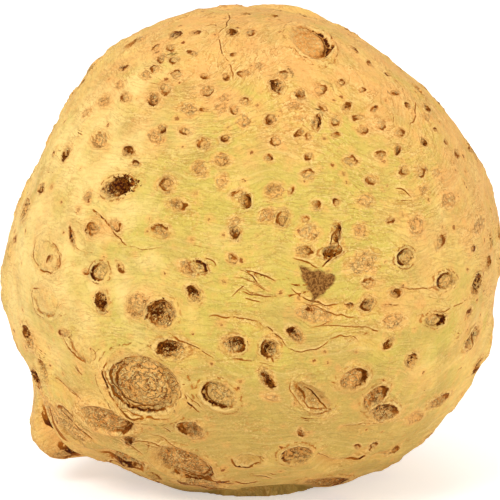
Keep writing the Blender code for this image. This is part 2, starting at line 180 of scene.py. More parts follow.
# The scars that give this root its face: bearing, height, half-length, half-width, turn, kind,
# then where it has them the side on which it is dark with painted shade, 90 for upwards, and a look of its
# own
SCARS_LARGE = [
    (-26, -21, 8.7, 8.0, -2, "corky", 205, "disc"), (-21.5, -46.5, 7.4, 5.9, -61, "corky", 300, "granular"),
    (-40.5, -32, 7.1, 3.9, -1, "corky", 0, "granular"), (35, 65.5, 7.2, 4.5, 70, "corky", -20, "plug"),
    (-52, 6, 5.3, 3.7, -6, "ghost"), (-52.5, -4.5, 5.2, 3.5, 10, "ghost"),
    (-42, -13.5, 3.9, 3.0, -38, "ghost"), (15.5, -23.5, 5.9, 2.4, -45, "hollow", None, "leaf"),
    (37.5, -60, 7.7, 4.2, -24, "slit", None, "granular"),
]
SCARS_LEFT = [
    (-34, 24, 3.5, 2.2, 18, "stub", 20, "rot"), (-21, 26, 1.7, 1.7, -60, "corky", 200),
    (-17.5, 21.5, 1.9, 1.1, -12, "hollow", 0, "curled"), (-33.5, 32.5, 1.4, 1.0, -16, "hollow", 100),
    (-44.5, 34, 2.4, 1.7, -19, "corky", 170, "blush"), (-56, 29.5, 1.6, 1.3, -85, "slit", 250),
    (-51.5, 43.5, 2.1, 1.2, -5, "slit", 120, "blush"), (-32.5, 46, 1.6, 1.2, -38, "hollow", 270),
    (-19.5, 44.5, 1.9, 1.5, -14, "blush"), (-13, 36, 1.3, 1.2, -34, "corky", 180),
    (-14.5, 49.5, 1.3, 1.2, -65, "corky", 300), (-13, 30, 1.6, 1.4, -54, "corky", 270, "blush"),
    (-11.5, 70, 1.5, 1.0, -90, "hollow", 100), (-21, 15.5, 1.9, 1.3, -6, "hollow", 90, "curled"),
    (-32.5, 15.5, 1.4, 1.1, -23, "hollow", 330, "curled"),
    (-38.5, 14, 1.9, 1.5, -19, "hollow", 180, "curled"), (-61.5, 20, 1.6, 1.0, 9, "hollow", 300),
    (-70, 14, 3.7, 2.5, 18, "slit"), (-35.5, 5, 2.4, 1.9, 28, "ghost", 200, "ringed"),
    (-34.5, -1.5, 2.3, 1.5, 89, "hollow", 200), (-25.5, -1.5, 2.9, 2.5, 64, "corky", 180, "blush"),
    (-20, -3, 3.4, 3.3, 35, "hollow", 150), (-12.5, 2, 1.9, 1.4, -62, "hollow", 120),
    (-14, 7.5, 1.8, 1.0, -32, "slit", None, "blush"), (-18, -11, 3.4, 2.0, -10, "hollow", 150),
    (-36, -37.5, 2.1, 1.0, 50, "hollow", 250), (-16, -32.5, 2.9, 2.3, -25, "hollow", 170, "granular"),
]
SCARS_MIDDLE = [
    (-7.5, 32, 1.7, 1.3, -3, "corky", 260, "blush"), (-7, 27.5, 1.4, 1.0, -76, "blush"),
    (-5, 44.5, 1.0, 0.8, -72, "corky", 220), (9.5, 51, 2.0, 1.4, 87, "hollow", 160),
    (17, 48.5, 1.2, 1.0, 55, "hollow", 250), (6, 42, 1.2, 1.0, 72, "hollow", 200),
    (14, 38.5, 1.2, 0.6, 41, "slit"), (20, 41, 1.7, 0.8, 68, "stub", 0),
    (-1, 23, 1.4, 1.1, 88, "corky", None, "stub"), (4, 19.5, 1.5, 1.4, -2, "blush", 180),
    (7.5, 19, 1.8, 1.4, 77, "corky", 180), (6, 25, 1.8, 1.6, 41, "corky", 60, "blush"),
    (-3.5, 16, 1.4, 1.1, -78, "hollow", 270), (18.5, 11, 2.2, 1.3, 5, "hollow", 260, "stub"),
    (20, 15, 1.8, 0.9, 79, "stub"), (12.5, 11.5, 1.7, 1.1, -7, "slit", 0, "curled"),
    (13.5, 15.5, 2.1, 1.8, 0, "blush"), (-3.5, -9.5, 2.5, 2.1, -4, "hollow", 5),
    (4.5, -10.5, 2.2, 2.0, -86, "hollow", 190), (10, -7, 2.0, 1.0, -48, "hollow", 150),
    (4, -18, 2.4, 1.1, -60, "hollow", 290), (-7.5, -22.5, 4.3, 3.2, -47, "corky", 215, "ringed"),
    (25, -19, 3.5, 2.8, -4, "corky", 25, "granular"), (14, -41.5, 3.6, 3.4, -20, "hollow", 140, "disc"),
    (-0.5, -43.5, 3.5, 2.5, -3, "slit", None, "ghost"), (14.5, -2.5, 3.8, 1.8, -15, "blush"),
]
SCARS_RIGHT = [
    (16, 21.5, 1.0, 0.9, 3, "hollow", 0, "curled"), (28.5, 21.5, 1.7, 1.2, 2, "blush"),
    (26, 15, 1.5, 1.3, 3, "blush"), (32, 44.5, 1.3, 0.8, 41, "slit"),
    (36.5, 31.5, 1.1, 0.8, 10, "slit", None, "curled"), (42.5, 32, 1.1, 0.6, 46, "hollow", 270),
    (53.5, 32.5, 1.0, 0.9, 72, "hollow", 300), (66, 40, 1.4, 1.0, 14, "slit", 310),
    (37, 8, 2.4, 1.9, 8, "corky", 170, "ringed"), (49, 1, 3.2, 1.8, -7, "corky", 160, "ringed"),
    (46, -7.5, 3.3, 1.5, -9, "corky", 0, "ringed"), (27, -1.5, 1.6, 1.4, 15, "hollow", 200),
    (34, 0.5, 1.3, 0.9, -11, "hollow", 0), (33, -11, 1.4, 0.9, 64, "slit", 240),
    (41, -16.5, 1.7, 1.6, -4, "slit", 60), (63, -2.5, 3.1, 2.1, 20, "slit", 80),
    (65.5, -15.5, 3.6, 2.4, 22, "slit"), (60.5, -31, 3.9, 1.7, 1, "slit", None, "granular"),
    (51.5, -34, 3.2, 1.9, -19, "slit", None, "blush"), (54.5, 18.5, 2.3, 1.6, -3, "blush"),
    (41.5, 14.5, 2.1, 2.0, 74, "blush"), (66, 10.5, 3.6, 1.4, 10, "blush"),
    (32, -24.5, 3.4, 2.4, 40, "hollow", None, "granular"), (36.5, -29.5, 4.5, 2.3, -21, "hollow", 70),
    (40.5, -41.5, 1.1, 0.8, -50, "hollow"),
]
# The other scars: an even spiral with seeded shifts, off the face that the named ones cover
CROWN = (165, 54)
CROWN_RADIUS = 15.0
RULE_SCARS = 460
RULE_SEED = 5
RULE_SHIFT = 3.0
RULE_AGE = (0.1, 0.9)
RULE_HALF_WIDTH = (1.0, 2.3)
RULE_SPREAD = (0.7, 1.9)
RULE_LENGTH = (1.05, 1.6)
RULE_GAP = 1.8
CROWN_CLEAR = 5.0
FOOT_SCAR_CLEAR = 9.0
FACE = (0, 12)
FACE_REACH = 68.0
RULE_KINDS = ("hollow", "corky", "hollow", "corky", "slit")

# Cut root stubs round the underside and back: bearing, height, radius, rise
STUBS = [
    (118, -50, 5.5, 2.6), (146, -59, 6.5, 2.2), (170, -45, 5.0, 3.0), (200, -57, 6.5, 2.4),
    (228, -46, 5.5, 2.8), (252, -60, 5.5, 1.8), (150, -32, 4.0, 1.6), (208, -30, 4.5, 1.8),
]


def rule_scars(named):
    """Seeded scars between the named ones, kept clear of them, of each other and of the crown."""
    draw = np.random.default_rng(RULE_SEED)
    crown = direction(*CROWN)
    crown_limit = math.cos((CROWN_RADIUS + CROWN_CLEAR) / SKIN_RADIUS)
    face = direction(*FACE)
    face_limit = math.cos(math.radians(FACE_REACH))
    foot_limit = -math.cos(math.atan2(FOOT_RADIUS, CENTRE_HEIGHT) + math.radians(FOOT_SCAR_CLEAR))
    rays = unit(spiral(RULE_SCARS) + draw.normal(0.0, math.radians(RULE_SHIFT), (RULE_SCARS, 3)))
    sizes = draw.random((RULE_SCARS, 4))
    placed = [(direction(row[0], row[1]), row[2]) for row in named]
    placed += [(direction(row[0], row[1]), row[2]) for row in STUBS]
    found = []
    for ray, (wide, long, turn, kind) in zip(rays, sizes):
        age = math.acos(float(np.clip(ray @ crown, -1.0, 1.0))) / math.pi
        half_width = np.interp(age, RULE_AGE, RULE_HALF_WIDTH) * np.interp(wide ** 2, (0, 1), RULE_SPREAD)
        half_length = half_width * np.interp(long, (0, 1), RULE_LENGTH)
        if ray @ crown > crown_limit or ray @ face > face_limit or ray[2] < foot_limit:
            continue
        gaps = [SKIN_RADIUS * math.acos(min(1.0, float(ray @ other))) - reach for other, reach in placed]
        if min(gaps) < half_length + RULE_GAP:
            continue
        bearing = math.degrees(math.atan2(ray[0], -ray[1]))
        height = math.degrees(math.asin(ray[2]))
        name = RULE_KINDS[int(kind * len(RULE_KINDS))]
        found.append((bearing, height, half_length, half_width, 180.0 * turn - 90.0, name))
        placed.append((ray, half_length))
    return found


def scar_place(rays, scar):
    """Place in a scar's own oval: along and aside of its middle, 1 at its edge."""
    bearing, height, half_length, half_width, turn = scar[:5]
    across, up = across_and_up(rays, bearing, height)
    t = math.radians(turn)
    along = (across * math.cos(t) + up * math.sin(t)) / half_length
    aside = (up * math.cos(t) - across * math.sin(t)) / half_width
    return along, aside


def near_scar(rays, scar, reach=SCAR_END):
    """Which directions lie within a number of half-lengths of a scar's middle."""
    return rays @ direction(scar[0], scar[1]) > math.cos(reach * scar[2] / SKIN_RADIUS)


def scar_relief(rays, scar):
    """Mound, rim, ring groove and floor of one scar, as bells of the distance from its middle.
    The groove is deeper on one side, and all of it grows with the scar's width."""
    mound, rim, groove, floor = SCAR_RELIEF[scar[5]]
    near = near_scar(rays, scar)
    relief = np.zeros(len(rays))
    along, aside = scar_place(rays[near], scar)
    far = np.hypot(along, aside)
    open_side = math.radians(scar[4] * 3.0)
    shape = mound * bell(far, 0.0, MOUND_REACH)
    shape += rim * bell(far, RIM_PLACE, RIM_WIDTH)
    lean = 1.0 - RING_LEAN + RING_LEAN * np.cos(np.arctan2(aside, along) - open_side)
    shape -= groove * bell(far, GROOVE_PLACE, GROOVE_WIDTH) * lean
    shape -= floor * np.exp(-((far / FLOOR_REACH) ** 4))
    relief[near] = shape * (scar[3] / FULL_SCAR) ** RELIEF_GROWTH
    return relief


named_scars = SCARS_LARGE + SCARS_LEFT + SCARS_MIDDLE + SCARS_RIGHT
scars = named_scars + rule_scars(named_scars)

# ---------------------------------------------------------------- Folds
# The skin is pressed into creases where the root swelled past itself: round the heel, under
# it, and in long shallow lines across the front and back.

# An arc from start to end for each: bearing and height of both, sag, width, depth
FOLDS = [
    (-71, -31, -76, -52, -1.0, 2.2, 2.2),       # round the heel
    (-55, -46.5, -39, -49.5, -3.0, 2.4, 2.0),   # under the heel
    (-40.5, 18, -30, 12.5, 0.4, 1.4, 1.1),      # upper left crease
    (9, 3.5, 36, -2.5, 2.2, 1.3, 0.8),          # long line right of the middle
    (-55.5, -23, -47, -27.5, 1.0, 1.6, 0.9),
    (-16, -7, -8, -13, 1.5, 1.3, 0.7),
    (-9.5, -3.5, 8, -10, -3.0, 1.3, 0.7),
    (22, -9, 33, -15, -2.0, 1.3, 0.7),
    (21, -41.5, 40, -41.5, 6.4, 1.7, 1.3),
    (43, -47, 54, -44, 1.0, 1.5, 0.9),
    (24, -33, 38, -34, 1.0, 1.3, 0.7),
    (112, -22, 150, -30, 3.0, 2.0, 1.4),
    (-110, 2, -140, -6, 3.0, 1.8, 1.2),
    (170, -28, 205, -34, 3.0, 2.0, 1.4),
]
FOLD_POINT_GAP = 3.0
FOLD_SHOULDER = 1.8
SHOULDER_RISE = 0.35


def fold_route(fold):
    """Points along a fold: from start to end on the sphere, sagging in the middle."""
    b0, h0, b1, h1, sag, _, _ = fold
    start = direction(b0, h0)
    end = direction(b1, h1)
    length = SKIN_RADIUS * math.acos(float(start @ end))
    steps = np.linspace(0.0, 1.0, max(4, int(length / FOLD_POINT_GAP) + 1))
    down = unit(np.cross(end - start, start + end))
    route = start + (end - start) * steps[:, None]
    route += down * (math.radians(sag) * 4.0 * steps * (1.0 - steps))[:, None]
    return unit(route), steps


def fold_gap(rays, fold):
    """Distance from a fold's line in millimetres, and how strong the fold is there."""
    route, steps = fold_route(fold)
    gap = np.full(len(rays), 1e3)
    fade = np.zeros(len(rays))
    near = (rays @ route.T).max(axis=1) > math.cos((3.0 * fold[5] + FOLD_POINT_GAP) / SKIN_RADIUS)
    here = rays[near]
    best = np.full(len(here), np.inf)
    share = np.zeros(len(here))
    for low, high, s0, s1 in zip(route[:-1], route[1:], steps[:-1], steps[1:]):
        leg = high - low
        t = np.clip((here - low) @ leg / (leg @ leg), 0.0, 1.0)
        found = SKIN_RADIUS * np.linalg.norm(here - (low + t[:, None] * leg), axis=1)
        closer = found < best
        best[closer] = found[closer]
        share[closer] = (s0 + (s1 - s0) * t)[closer]
    gap[near] = best
    fade[near] = np.sqrt(np.clip(4.0 * share * (1.0 - share), 0.0, 1.0))
    return gap, fade


def fold_relief(rays, fold):
    """A round-bottomed groove with low shoulders along a fold, fading out at both ends."""
    width, depth = fold[5], fold[6]
    gap, fade = fold_gap(rays, fold)
    groove = -depth * bell(gap, 0.0, width)
    shoulder = SHOULDER_RISE * depth * bell(gap, FOLD_SHOULDER * width, width)
    return (groove + shoulder) * fade


# ---------------------------------------------------------------- Crown and cut stubs
# The leaf stalks were cut off close, which leaves a sunk, uneven disc with arcs of stalk
# bases on the upper back. Round the underside a few thick side roots are cut to short stubs.

# Waves of the crown's edge: how many, turn, height
CROWN_WAVES = [(2.0, 0.6, 0.09), (5.0, 0.0, 0.05)]
CROWN_COLLAR = 1.3
CROWN_COLLAR_WIDTH = 2.8
COLLAR_WAVES = (4.0, 0.35)
CROWN_SINK = 1.4
SINK_EDGE = (0.8, 1.05)
STALK_COUNT = 15
STALK_TURN = 137.5
STALK_FIRST = 2.5
STALK_STEP = 0.95
STALK_HALF_WIDTH = 1.5
STALK_HALF_ANGLE = 38.0
STALK_RISE = 1.6
STUB_SIDE = (0.85, 1.7)
STUB_RING = (0.5, 0.2)
STUB_RING_DEPTH = 0.6


def crown_polar(rays):
    """Distance and angle round the crown's middle, and how far out its edge is there."""
    across, up = across_and_up(rays, *CROWN)
    far = np.where(rays @ direction(*CROWN) > 0.0, np.hypot(across, up), 10.0 * CROWN_RADIUS)
    angle = np.arctan2(up, across)
    waves = sum((high * np.cos(count * angle + turn) for count, turn, high in CROWN_WAVES), 1.0)
    return far, angle, CROWN_RADIUS * waves


def crown_relief(rays):
    """Cut crown: a sunk disc with an uneven edge and collar, and arcs of the leaf stalks."""
    far, angle, edge = crown_polar(rays)
    relief = CROWN_COLLAR * bell(far - edge, 1.0, CROWN_COLLAR_WIDTH)
    relief *= 1.0 + COLLAR_WAVES[1] * np.cos(COLLAR_WAVES[0] * angle)
    relief -= CROWN_SINK * (1.0 - smooth(*SINK_EDGE, far / edge))
    for stalk in range(STALK_COUNT):
        ring = STALK_FIRST + STALK_STEP * stalk
        turned = np.cos(angle - math.radians(STALK_TURN * stalk))
        arc = np.exp(-2.0 * (1.0 - turned) / math.radians(STALK_HALF_ANGLE) ** 2)
        relief += STALK_RISE * arc * bell(far, ring, STALK_HALF_WIDTH)
    return relief


def stub_share(rays, stub):
    """Distance from the middle of a cut stub, 1 at its edge."""
    centre = direction(stub[0], stub[1])
    return SKIN_RADIUS * np.arccos(np.clip(rays @ centre, -1.0, 1.0)) / stub[2]


def stub_relief(rays, stub):
    """A cut root stub: a low cone of a knob with a flat cut end and a ring groove in it."""
    far = stub_share(rays, stub)
    return stub[3] * (1.0 - smooth(*STUB_SIDE, far)) - STUB_RING_DEPTH * bell(far, *STUB_RING)


# ---------------------------------------------------------------- Skin mesh
# One closed skin. The directions come from a cube blown up to a sphere, drawn together on
# the face side and round each scar, so that rims and pits are finely drawn.
GRID_STEPS = 128
FRONT = (0, 10)
FRONT_PULL = 0.68
SCAR_PULL = 0.35
PULL_FROM = 1.0
PULL_REACH = 2.0
PULL_END = 3.0
NOISE_TABLE = 4096
NOISE_STEPS = (73, 1361, 2857)
UNDERSIDE = -0.3

# Level wrinkles a few millimetres long, small pimples and lumps, each with a seed of its own:
# height, and steps of soft noise along the three axes
GRAIN_SEED = 21
GRAINS = [(0.10, (14.0, 14.0, 60.0)), (0.09, (55.0, 55.0, 55.0)), (0.28, (11.0, 11.0, 11.0))]


def cube_grid(steps):
    """Directions and faces of a cube's grid on a sphere: each side is a grid of two parameters
    from -45 to 45 degrees, and the shared edges are welded."""
    side = np.tan(np.linspace(-math.pi / 4.0, math.pi / 4.0, steps + 1))
    u, v = np.meshgrid(side, side, indexing="ij")
    corner = np.arange((steps + 1) ** 2).reshape(steps + 1, steps + 1)
    quads = [corner[:-1, :-1], corner[1:, :-1], corner[1:, 1:], corner[:-1, 1:]]
    quads = np.stack(quads, axis=-1).reshape(-1, 4)
    places = []
    faces = []
    for axis, sign in itertools.product(range(3), (1.0, -1.0)):
        place = np.empty(u.shape + (3,))
        place[..., axis] = sign
        place[..., (axis + 1) % 3] = u
        place[..., (axis + 2) % 3] = v
        faces.append((quads if sign > 0.0 else quads[:, ::-1]) + len(places) * corner.size)
        places.append(place.reshape(-1, 3))
    points = np.vstack(places)
    _, first, again = np.unique(np.round(points, 7), axis=0, return_index=True, return_inverse=True)
    return unit(points[first]), again.reshape(-1)[np.vstack(faces)]


def draw_together(rays, centre, share):
    """Stretches the sphere towards one side: the stereographic map from the far side, scaled."""
    high = rays @ centre
    flat = (rays - high[:, None] * centre) / (1.0 + high)[:, None] * share
    square = (flat ** 2).sum(axis=1)[:, None]
    return (2.0 * flat + (1.0 - square) * centre) / (1.0 + square)


def pull_to_scar(rays, scar):
    """Moves directions towards a scar's middle, most of all close to it."""
    gap = direction(scar[0], scar[1]) - rays
    far = SKIN_RADIUS * np.linalg.norm(gap, axis=1) / (PULL_REACH * scar[2])
    near = far < PULL_END
    rays[near] = unit(rays[near] + gap[near] * (SCAR_PULL * np.exp(-far[near] ** 2))[:, None])
    return rays


def lattice_noise(points, seed):
    """Soft random values from -1 to 1: a random number at each whole-number lattice point,
    blended between the eight round each place with soft weights."""
    table = np.random.default_rng(seed).uniform(-1.0, 1.0, NOISE_TABLE)
    cell = np.floor(points).astype(np.int64)
    part = points - cell
    soft = part * part * (3.0 - 2.0 * part)
    total = np.zeros(len(points))
    for corner in itertools.product((0, 1), repeat=3):
        key = (cell + corner) @ np.array(NOISE_STEPS)
        weight = np.where(np.array(corner) == 1, soft, 1.0 - soft).prod(axis=1)
        total += table[key % NOISE_TABLE] * weight
    return total


def grain_relief(rays):
    """Fine unevenness of the skin: the sum of soft random values, each with its own steps."""
    seeds = itertools.count(GRAIN_SEED)
    return sum(high * lattice_noise(rays * steps, next(seeds)) for high, steps in GRAINS)


def skin_distance(rays):
    """Distance from the middle of the root to its finished skin along each ray."""
    relief = swell_relief(rays) + crown_relief(rays) + grain_relief(rays)
    for scar in scars:
        relief += scar_relief(rays, scar)
    for fold in FOLDS:
        relief += fold_relief(rays, fold)
    for stub in STUBS:
        relief += stub_relief(rays, stub)

    # The foot is a flat spot: relief fades out towards it and the skin meets its plane there.
    foot_angle = math.atan2(FOOT_RADIUS, CENTRE_HEIGHT)
    fall = np.arccos(np.clip(-rays[:, 2], -1.0, 1.0))
    away = smooth(foot_angle, foot_angle + math.radians(FOOT_BLEND), fall)
    steep = rays[:, 2] < UNDERSIDE
    plane = np.where(steep, CENTRE_HEIGHT / np.maximum(-rays[:, 2], 1e-6), np.inf)
    distance = np.minimum(body_distance(rays) + relief * away, plane)
    return np.where(fall <= foot_angle, plane, distance)


def mesh_object(name, points, faces):
    """A smooth-shaded mesh object from arrays of points and equal-sided faces."""
    mesh = bpy.data.meshes.new(name)
    mesh.vertices.add(len(points))
    mesh.vertices.foreach_set("co", np.ascontiguousarray(points, dtype=np.float32).ravel())
    corners = faces.shape[1]
    mesh.loops.add(faces.size)
    mesh.loops.foreach_set("vertex_index", faces.ravel().astype(np.int32))
    mesh.polygons.add(len(faces))
    mesh.polygons.foreach_set("loop_start", np.arange(0, faces.size, corners, dtype=np.int32))
    mesh.polygons.foreach_set("loop_total", np.full(len(faces), corners, dtype=np.int32))
    mesh.update(calc_edges=True)
    mesh.shade_smooth()
    made = bpy.data.objects.new(name, mesh)
    bpy.context.scene.collection.objects.link(made)
    return made


rays, quads = cube_grid(GRID_STEPS)
rays = draw_together(rays, direction(*FRONT), FRONT_PULL)
for scar in scars:
    if scar[2] >= PULL_FROM:
        rays = pull_to_scar(rays, scar)
skin_points = rays * skin_distance(rays)[:, None]
skin_points[:, 2] += CENTRE_HEIGHT
skin = mesh_object("celeriac_skin", skin_points * MM, quads)
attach(skin, "root")
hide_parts("celeriac_root")

# ---------------------------------------------------------------- Skin markings
# What the skin's colour follows, kept at each point of the mesh: where it lies in the nearest
# scar and across the nearest line, both in layers so that neighbours don't cut each other
# off, and the broad zones, the run of the streaks, the depth of the folds and the cut faces.

# Looks of a scar: edge ring, dark floor, flush round it, body; curls, grains, body's tone. The edge
# ring carries painted shade on one side and a painted highlight on its lip; the dark floor holds
# dirt stains and a pit that is partly painted shade.
SCAR_LOOKS = {
    "disc": (1.00, 0.15, 0.60, 0.55, 0.85, 0.40, 0.45),
    "granular": (0.70, 0.15, 0.80, 0.80, 0.60, 0.75, 0.50),
    "ringed": (1.00, 0.05, 0.55, 0.25, 0.50, 0.50, 0.20),
    "curled": (0.55, 0.12, 0.90, 0.15, 0.50, 0.45, 0.15),
    "pitted": (0.70, 0.78, 0.85, 0.45, 0.75, 0.70, 0.40),
    "slit": (0.60, 0.90, 0.75, 0.35, 0.50, 0.50, 0.50),
    "blush": (0.10, 0.00, 1.00, 0.25, 0.45, 0.30, 0.15),
    "ghost": (0.35, 0.00, 0.25, 0.00, 0.00, 0.00, 0.20),
    "leaf": (0.25, 0.00, 0.40, 0.20, 0.30, 0.40, 0.10),
    "plug": (0.90, 0.00, 0.60, 1.00, 0.30, 0.50, 0.50),
    "stub": (1.00, 0.45, 0.60, 0.60, 0.70, 0.70, 0.60),
    "rot": (1.00, 1.00, 0.90, 0.50, 0.90, 1.00, 1.00),
}
# The look of a scar is that of its kind, unless its row gives one
KIND_LOOKS = {"corky": "curled", "hollow": "pitted"}
# Marks too small for relief of their own: bearing, height, half-length, half-width, turn, look
SMALL_MARKS = [
    (-71, 62.5, 1.5, 1.1, -5, "blush"), (-50.5, 61.5, 1.2, 0.9, -63, "slit"),
    (-41, 58, 1.5, 1.1, -35, "curled"), (-39.5, 54.5, 1.4, 0.9, -45, "curled"),
    (-41.5, 52.5, 1.4, 0.9, -29, "blush"), (-56.5, 53.5, 1.5, 1.0, -14, "slit"),
    (-49.5, 48.5, 1.2, 0.9, -24, "blush"), (-43.5, 45.5, 1.4, 1.0, -19, "curled"),
    (-57, 40, 1.4, 1.0, -11, "blush"), (-30.5, 49.5, 1.9, 1.2, -55, "curled"),
    (-27.5, 37, 1.9, 1.5, -51, "blush"), (-26, 39, 1.0, 0.8, -86, "pitted"),
    (-30.5, 30, 0.9, 0.7, -14, "pitted"), (-64, 28.5, 0.6, 0.5, -5, "pitted"),
    (-48.5, 67, 1.9, 1.4, -39, "pitted"), (-41, 62, 1.4, 1.0, -37, "curled"),
    (-34, 58, 1.4, 1.0, -34, "curled"), (-36.5, 69, 1.2, 1.0, -26, "slit"),
    (0.5, 71, 1.5, 0.9, 86, "curled"), (-28, 61, 1.2, 0.5, -24, "slit"),
    (-7.5, 61.5, 0.7, 0.6, -12, "slit"), (4, 57.5, 1.4, 0.9, 83, "blush"),
    (-29, 54, 1.4, 1.1, -34, "curled"), (-17.5, 54, 0.9, 0.5, -23, "slit"),
    (-9, 53.5, 0.8, 0.6, -72, "pitted"), (-2.5, 55, 1.2, 0.9, 21, "curled"),
    (13, 54.5, 1.3, 1.0, 63, "curled"), (-1.5, 47, 1.0, 0.9, -80, "curled"),
    (-8.5, 48, 1.0, 0.9, -55, "blush"), (-9, 45, 1.3, 1.1, -70, "blush"),
    (-14.5, 44.5, 0.7, 0.4, -3, "slit"), (-19, 39, 1.3, 1.0, -11, "curled"),
    (-7, 37.5, 0.9, 0.9, -38, "pitted"), (-1.5, 42, 1.4, 1.3, -17, "blush"),
    (7, 36.5, 1.2, 1.1, 62, "curled"), (5, 32.5, 0.8, 0.7, -42, "pitted"),
    (15.5, 32.5, 0.9, 0.7, 35, "pitted"), (16.5, 37.5, 0.8, 0.7, 56, "curled"),
    (25, 49.5, 1.6, 1.2, 26, "curled"), (23.5, 45, 1.0, 0.7, -64, "slit"),
    (13.5, 45.5, 1.4, 1.0, 6, "blush"), (15.5, 42.5, 1.2, 0.8, 6, "blush"),
    (57.5, 60.5, 1.3, 0.7, 42, "slit"), (57.5, 55.5, 1.1, 0.7, 45, "slit"),
    (62.5, 51.5, 0.8, 0.6, 10, "pitted"), (34.5, 51, 1.1, 0.8, 29, "curled"),
    (56, 46, 1.3, 0.6, -3, "pitted"), (57, 42, 0.9, 0.7, 19, "pitted"), (61.5, 38, 1.5, 1.0, 4, "blush"),
    (42, 43, 1.2, 0.5, 19, "pitted"), (26, 41, 1.5, 1.0, 49, "curled"), (34, 41.5, 1.2, 0.6, 14, "curled"),
    (41, 38.5, 1.3, 0.9, 19, "curled"), (46.5, 36, 1.5, 0.9, 14, "curled"),
    (25, 37.5, 0.8, 0.5, 12, "pitted"), (34, 38, 1.2, 0.9, 23, "curled"), (27, 31, 1.6, 1.2, 12, "curled"),
    (64, 31, 0.7, 0.5, 3, "pitted"), (62, 34.5, 0.6, 0.4, 1, "pitted"),
    (67.5, 27.5, 1.1, 0.8, -3, "pitted"), (79, 26.5, 0.9, 0.7, -8, "pitted"),
    (42, 48.5, 0.8, 0.5, 21, "pitted"), (-73, 6, 1.1, 0.7, 17, "slit"), (-42, 21, 1.2, 1.0, 39, "blush"),
    (-44.5, 11.5, 1.9, 0.6, -56, "slit"), (-30, 6.5, 1.2, 0.6, -54, "slit"),
    (-51, 5.5, 0.9, 0.6, 50, "slit"), (-39, 4.5, 0.8, 0.5, 9, "curled"),
    (-47, -10.5, 1.5, 0.7, 18, "curled"), (-11.5, 8, 1.8, 1.2, -21, "ringed"),
    (-4, 10, 1.0, 0.8, -38, "pitted"), (-3, 24.5, 1.4, 0.9, 19, "curled"), (10, 25, 0.8, 0.4, 56, "curled"),
    (13, 18.5, 0.7, 0.6, 4, "curled"), (-3.5, 18.5, 1.1, 1.0, -5, "blush"),
    (14.5, 28.5, 1.3, 1.1, 14, "curled"), (31.5, 26, 1.3, 0.9, 2, "curled"),
    (21, 22, 0.7, 0.6, 58, "pitted"), (34.5, 16.5, 0.8, 0.4, 8, "pitted"), (49, 10, 1.9, 1.0, 31, "curled"),
    (62, 6, 0.9, 0.6, 0, "pitted"), (26, 8, 3.4, 2.1, 15, "blush"), (27.5, 3.5, 1.3, 1.0, -13, "curled"),
    (34, -6, 2.6, 1.7, 0, "blush"), (60.5, -8.5, 1.4, 0.8, 21, "slit"), (23, -1.5, 0.7, 0.5, -10, "pitted"),
    (46.5, 22, 1.5, 1.0, 20, "blush"), (42, 27, 1.5, 0.9, 27, "curled"), (47.5, 26, 1.4, 1.0, 34, "curled"),
    (53.5, 25, 1.2, 0.8, 1, "blush"), (14, -34, 1.1, 0.6, -66, "pitted"), (5, -23, 1.5, 0.9, -19, "blush"),
    (-55.5, -32, 2.4, 1.8, -24, "curled"), (34, -41, 1.1, 0.5, -42, "pitted"),
    (-21, -56, 5.8, 3.4, 20, "granular"), (-61.5, -33, 4.0, 2.1, -30, "blush"),
    (-55, -36.5, 3.3, 2.0, -30, "blush"), (-44.5, -47.5, 4.5, 2.4, 0, "granular"),
    (-15, -34, 2.2, 1.5, -57, "blush"),
]
LAYERS = 3
SCAR_VALUES = ("place", "look", "form", "grain")
MARK_SEED = 8
RULE_STRENGTH = (0.35, 0.9)
# A scar's marks fade out with the distance from its middle, and halfway to a neighbour
SCAR_FADE = (1.7, 2.5)
NEIGHBOUR_FADE = (0.1, 0.5)
# Half-lengths between which a small scar's dark floor, and its curls and grains, grow
SMALL_SCAR = (0.8, 2.0)
SMALL_FLOOR = (0.35, 1.0)
SMALL_GRAIN = (0.6, 1.0)
LINE_REACH = 3.0
FULL_FOLD = 1.5
# How far from a scar the streaks part round it, in half-lengths, and how softly
BEND_END = 5.0
BEND_SPREAD = 12.0
CUT_EDGE = (0.9, 1.02)
STUB_CUT_EDGE = (0.8, 0.95)

# Broad zones of colour: bearing, height, spread, strength. The cream lies mostly on the upper
# left, towards the key lamp, and is partly the skin's own cream and partly painted highlight;
# the olive lies low down and is partly its own tone and partly painted shade of the underside.
ZONES = {
    "green": [(4, 8, 30, 1.0), (-6, -14, 26, 0.7), (28, 24, 16, 0.5), (40, -22, 18, 0.5), (-14, 26, 18, 0.5),
              (175, -5, 40, 0.7)],
    "orange": [(48, 52, 32, 1.0), (8, 64, 28, 0.9), (80, 5, 24, 0.8), (30, 2, 12, 0.6), (-88, -42, 14, 1.0),
               (-46, -38, 16, 0.6), (230, 50, 40, 0.7)],
    "cream": [(-62, 12, 30, 1.0), (-40, 44, 22, 0.6), (-38, 16, 16, 0.6), (-34, -3, 15, 0.8),
              (120, 0, 30, 0.4)],
    "olive": [(10, -56, 32, 1.0), (48, -52, 20, 0.6), (-22, -50, 20, 0.8), (0, -34, 24, 0.5),
              (30, -30, 20, 0.4), (190, -60, 45, 0.8)],
}
# Where the streaks leave the level: bearing, height, spread, lean in degrees
LEANS = [(-8, 64, 22, 85), (62, 42, 24, 60), (62, -28, 20, 35), (-50, -34, 18, -35), (28, 50, 14, -35)]


def store(name, *columns):
    """Keeps three or four columns of values at the skin's points under a name."""
    values = np.column_stack(columns)
    kind, key = ("FLOAT_COLOR", "color") if values.shape[1] == 4 else ("FLOAT_VECTOR", "vector")
    layer = skin.data.attributes.new(name, kind, "POINT")
    layer.data.foreach_set(key, np.ascontiguousarray(values, dtype=np.float32).ravel())


def deal(count, sizes, gap_between):
    """Deals things out, largest first, each to the layer in which it has most room."""
    layer = np.full(count, -1)
    for number in np.argsort(-np.asarray(sizes)):
        gaps = gap_between(number)
        room = [gaps[layer == k].min(initial=1e3) for k in range(LAYERS)]
        layer[number] = int(np.argmax(room))
    return layer


